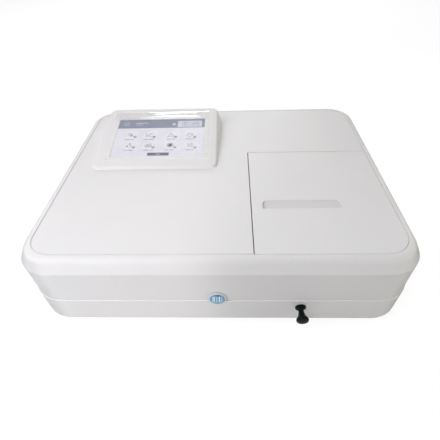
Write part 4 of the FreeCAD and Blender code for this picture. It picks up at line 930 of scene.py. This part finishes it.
def badge_look():
    """Blue enamel with the bars of a line spectrum, a small dark slit and a pale rim."""
    m = Look("badge_enamel")
    dx = m.math("SUBTRACT", m.axis(0), BADGE_X * MM)
    dz = m.math("SUBTRACT", m.axis(2), BADGE_Z * MM)
    radius = m.math("SQRT", m.math("ADD", m.times(dx, dx), m.times(dz, dz)))
    inside = m.remap(radius, span=(0.0080, 0.0083), to=(1, 0))
    bars = None
    for x, half, strength in PALE_BARS:
        bar = m.times(m.stripe(m.math("SUBTRACT", dx, x), half, soft=0.00018), strength)
        bars = bar if bars is None else m.math("MAXIMUM", bars, bar)
    tall = m.stripe(dz, half=0.0056, soft=0.0003)
    pale = m.times(bars, tall, inside)
    cloud = m.noise(scale=420.0, detail=3.0, rough=0.6)
    height = m.math("ADD", dz, m.times(cloud, 0.004))
    blue = m.mix(m.remap(height, span=(-0.006, 0.010)), (0.10, 0.42, 0.66), (0.07, 0.24, 0.52))
    for x, half in DEEP_LINES:
        line = m.stripe(m.math("SUBTRACT", dx, x), half, soft=0.00015)
        blue = m.mix(m.times(line, tall, inside), blue, (0.018, 0.055, 0.16))
    slit = m.times(m.stripe(m.math("SUBTRACT", dx, 0.0008), half=0.0019, soft=0.0001),
                   m.stripe(m.math("SUBTRACT", dz, 0.0074), half=0.0009, soft=0.0001))
    rim = m.remap(radius, span=(0.0092, 0.0094))
    colour = m.mix(m.times(pale, 0.85), blue, (0.72, 0.87, 0.94))
    colour = m.mix(slit, colour, (0.030, 0.032, 0.040))
    colour = m.mix(rim, colour, (0.66, 0.70, 0.72))
    return m.surface(Base_Color=colour, Roughness=m.remap(cloud, to=(0.10, 0.18)),
                     Coat_Weight=0.8, Coat_Roughness=0.04)


# Section (mm): radius, height off the front face; from the dome's centre over the rim
BADGE_TOP, BADGE_BASE = 1.60, 0.02
BADGE_SECTION = [
    (2.0, 1.585), (4.0, 1.53), (6.0, 1.43), (7.8, 1.28), (9.0, 1.10), (9.5, 0.95), (9.75, 0.70),
    (9.95, 0.62), (10.3, 0.75), (10.65, 0.72), (10.9, 0.50), (11.0, 0.25), (11.0, BADGE_BASE),
]
BADGE_SEGMENTS = 96


def domed_badge():
    mat = badge_look()
    verts, faces, count = [], [], BADGE_SEGMENTS
    for radius, height in BADGE_SECTION:
        for x, z in circle(BADGE_X, BADGE_Z, radius, count):
            verts.append((x * MM, (BADGE_Y - height) * MM, z * MM))
    centre = len(verts)
    for height in (BADGE_TOP, BADGE_BASE):
        verts.append((BADGE_X * MM, (BADGE_Y - height) * MM, BADGE_Z * MM))
    last = centre - count
    for row in range(0, last, count):
        for k in range(count):
            q = (k + 1) % count
            faces.append((row + k, row + q, row + count + q, row + count + k))
    for k in range(count):
        q = (k + 1) % count
        faces.append((centre, q, k))
        faces.append((last + k, last + q, centre + 1))
    badge = new_object("domed_badge", verts, faces, mat)
    face_outwards(badge)
    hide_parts("front_badge")


domed_badge()


# ---------------------------------------------------------------- floor and world
def floor_look():
    """Pale paper that glows evenly to the camera and is invisible from below."""
    m = Look("floor")
    path = m.node("LightPath")
    geometry = m.node("NewGeometry")
    tone = m.mix(m.remap(m.noise(scale=3.0, detail=3.0)), (0.86, 0.86, 0.86), (0.88, 0.88, 0.875))
    paper = m.node("BsdfDiffuse", Color=tone)
    soft = m.node("BsdfDiffuse", Color=(0.15, 0.15, 0.15))
    glow = m.node("Emission", Strength=0.90)
    seen = m.node("AddShader")
    m.put(seen.inputs[0], soft.outputs[0])
    m.put(seen.inputs[1], glow.outputs[0])
    above = m.mix_shaders(path.outputs["Is Camera Ray"], paper, seen)
    gone = m.node("BsdfTransparent")
    return m.end(m.mix_shaders(geometry.outputs["Backfacing"], above, gone))


def make_floor(half=6):
    mat = floor_look()
    mesh = bpy.data.meshes.new("floor")
    corners = [(-half, -half, 0), (half, -half, 0), (half, half, 0), (-half, half, 0)]
    mesh.from_pydata(corners, [], [(0, 1, 2, 3)])
    mesh.materials.append(mat)
    floor = bpy.data.objects.new("floor", mesh)
    bpy.context.scene.collection.objects.link(floor)


def make_world(lighting=0.004, seen=1.0):
    """A world that is bright to the camera and almost dark as a light."""
    world = bpy.data.worlds.new("studio")
    bpy.context.scene.world = world
    world.use_nodes = True
    nodes, links = world.node_tree.nodes, world.node_tree.links
    nodes.clear()
    out = nodes.new("ShaderNodeOutputWorld")
    path = nodes.new("ShaderNodeLightPath")
    mix = nodes.new("ShaderNodeMixShader")
    links.new(path.outputs["Is Camera Ray"], mix.inputs[0])
    for i, strength in ((1, lighting), (2, seen)):
        background = nodes.new("ShaderNodeBackground")
        background.inputs["Strength"].default_value = strength
        links.new(background.outputs[0], mix.inputs[i])
    links.new(mix.outputs[0], out.inputs[0])


make_floor()
make_world()

# ---------------------------------------------------------------- lights
# The first word of a light's name is its kind: beams are spots, the rest are area lights.
AREA_SIZE = {"sky": (1.2, 1.0), "overhead": (1.6, 1.4), "key": (0.5, 0.5)}
AREA_TARGET, BEAM_TARGET = (0.0, 0.0, 0.08), (-0.360, -0.170, 0.060)
WARM, COOL, NEUTRAL = (1.0, 0.984, 0.895), (1.0, 0.992, 1.03), (1.0, 0.995, 1.0)
WARM_FROM_X = 0.33   # lights farther right than this are warm

# Name, place (m), power (W), and for beams the cone angle (degrees)
LIGHTS = [
    ("sky_rear_mid", (0.000, 2.085, 0.972), 15.25, None),
    ("overhead", (0.000, 0.100, 2.200), 10.84, None),
    ("beam_front_left_low", (-0.754, -1.640, 0.554), 8.95, 26.11),
    ("sky_left_mid", (-1.805, -1.042, 0.972), 5.89, None),
    ("beam_front_low", (-0.360, -1.692, 0.554), 5.80, 27.00),
    ("sky_left_high", (-1.142, -0.660, 1.884), 3.92, None),
    ("sky_rear_left_mid", (-0.713, 1.959, 0.972), 3.35, None),
    ("key_front_left_high", (-0.406, -0.579, 0.787), 3.20, None),
    ("sky_left_mid_2", (-1.805, 1.042, 0.972), 2.78, None),
    ("beam_front_high", (-0.360, -1.241, 1.249), 1.99, 27.00),
    ("sky_right_mid", (1.805, -1.042, 0.972), 1.86, None),
    ("beam_front_high_2", (-0.083, -1.204, 1.249), 1.59, 26.11),
    ("sky_rear_high", (0.000, 1.319, 1.884), 1.50, None),
    ("key_left_high", (-0.612, -0.354, 0.787), 1.46, None),
    ("key_right_low", (0.978, -0.000, 0.288), 1.42, None),
    ("beam_front_mid", (0.318, -1.345, 0.908), 1.28, 23.49),
    ("key_right_low_2", (0.847, -0.489, 0.288), 1.23, None),
    ("beam_front_mid_2", (-0.360, -1.527, 0.908), 1.14, 27.00),
    ("key_right_low_3", (0.847, 0.489, 0.288), 0.92, None),
    ("sky_right_high", (1.142, -0.660, 1.884), 0.69, None),
    ("sky_front_mid", (0.000, -2.085, 0.972), 0.26, None),
]


def make_light(name, place, power, cone):
    kind = name.split("_")[0]
    data = bpy.data.lights.new(name, "SPOT" if cone else "AREA")
    if cone:
        data.spot_size = math.radians(cone)
        data.spot_blend = 0.25
        data.shadow_soft_size = 0.02
    else:
        data.shape = "RECTANGLE"
        data.size, data.size_y = AREA_SIZE[kind]
    data.energy = power
    if place[0] > WARM_FROM_X:
        data.color = WARM
    else:
        data.color = COOL if kind in ("key", "beam") else NEUTRAL
    lamp = bpy.data.objects.new(name, data)
    lamp.location = place
    lamp.visible_camera = False
    aim = Vector(BEAM_TARGET if cone else AREA_TARGET) - Vector(place)
    lamp.rotation_mode = "QUATERNION"
    lamp.rotation_quaternion = aim.to_track_quat("-Z", "Y")
    bpy.context.scene.collection.objects.link(lamp)


for light in LIGHTS:
    make_light(*light)

# ---------------------------------------------------------------- camera
CAMERA_PLACE = (0.0200107, -0.4211466, 0.4082738)
# Radians: down from level, to the right from +Y, and about the view
PITCH, YAW, ROLL = 0.74521773, -0.05168301, -0.04240080


def make_camera():
    data = bpy.data.cameras.new("camera")
    camera = bpy.data.objects.new("camera", data)
    bpy.context.scene.collection.objects.link(camera)
    forward = Vector((math.sin(YAW) * math.cos(PITCH), math.cos(YAW) * math.cos(PITCH),
                      -math.sin(PITCH)))
    level = Vector((math.cos(YAW), -math.sin(YAW), 0.0))
    upright = level.cross(forward)
    right = level * math.cos(ROLL) + upright * math.sin(ROLL)
    up = -level * math.sin(ROLL) + upright * math.cos(ROLL)
    matrix = Matrix.Identity(4)
    for i in range(3):
        matrix[i] = (right[i], up[i], -forward[i], CAMERA_PLACE[i])
    camera.matrix_world = matrix
    data.sensor_width = 36.0
    data.lens = 28.4524463455
    data.shift_y = -0.00416952273
    data.clip_start, data.clip_end = 0.01, 50.0
    scene = bpy.context.scene
    scene.camera = camera
    scene.view_settings.view_transform = "Standard"
    scene.view_settings.look = "None"
    scene.view_settings.exposure = 0.0


make_camera()
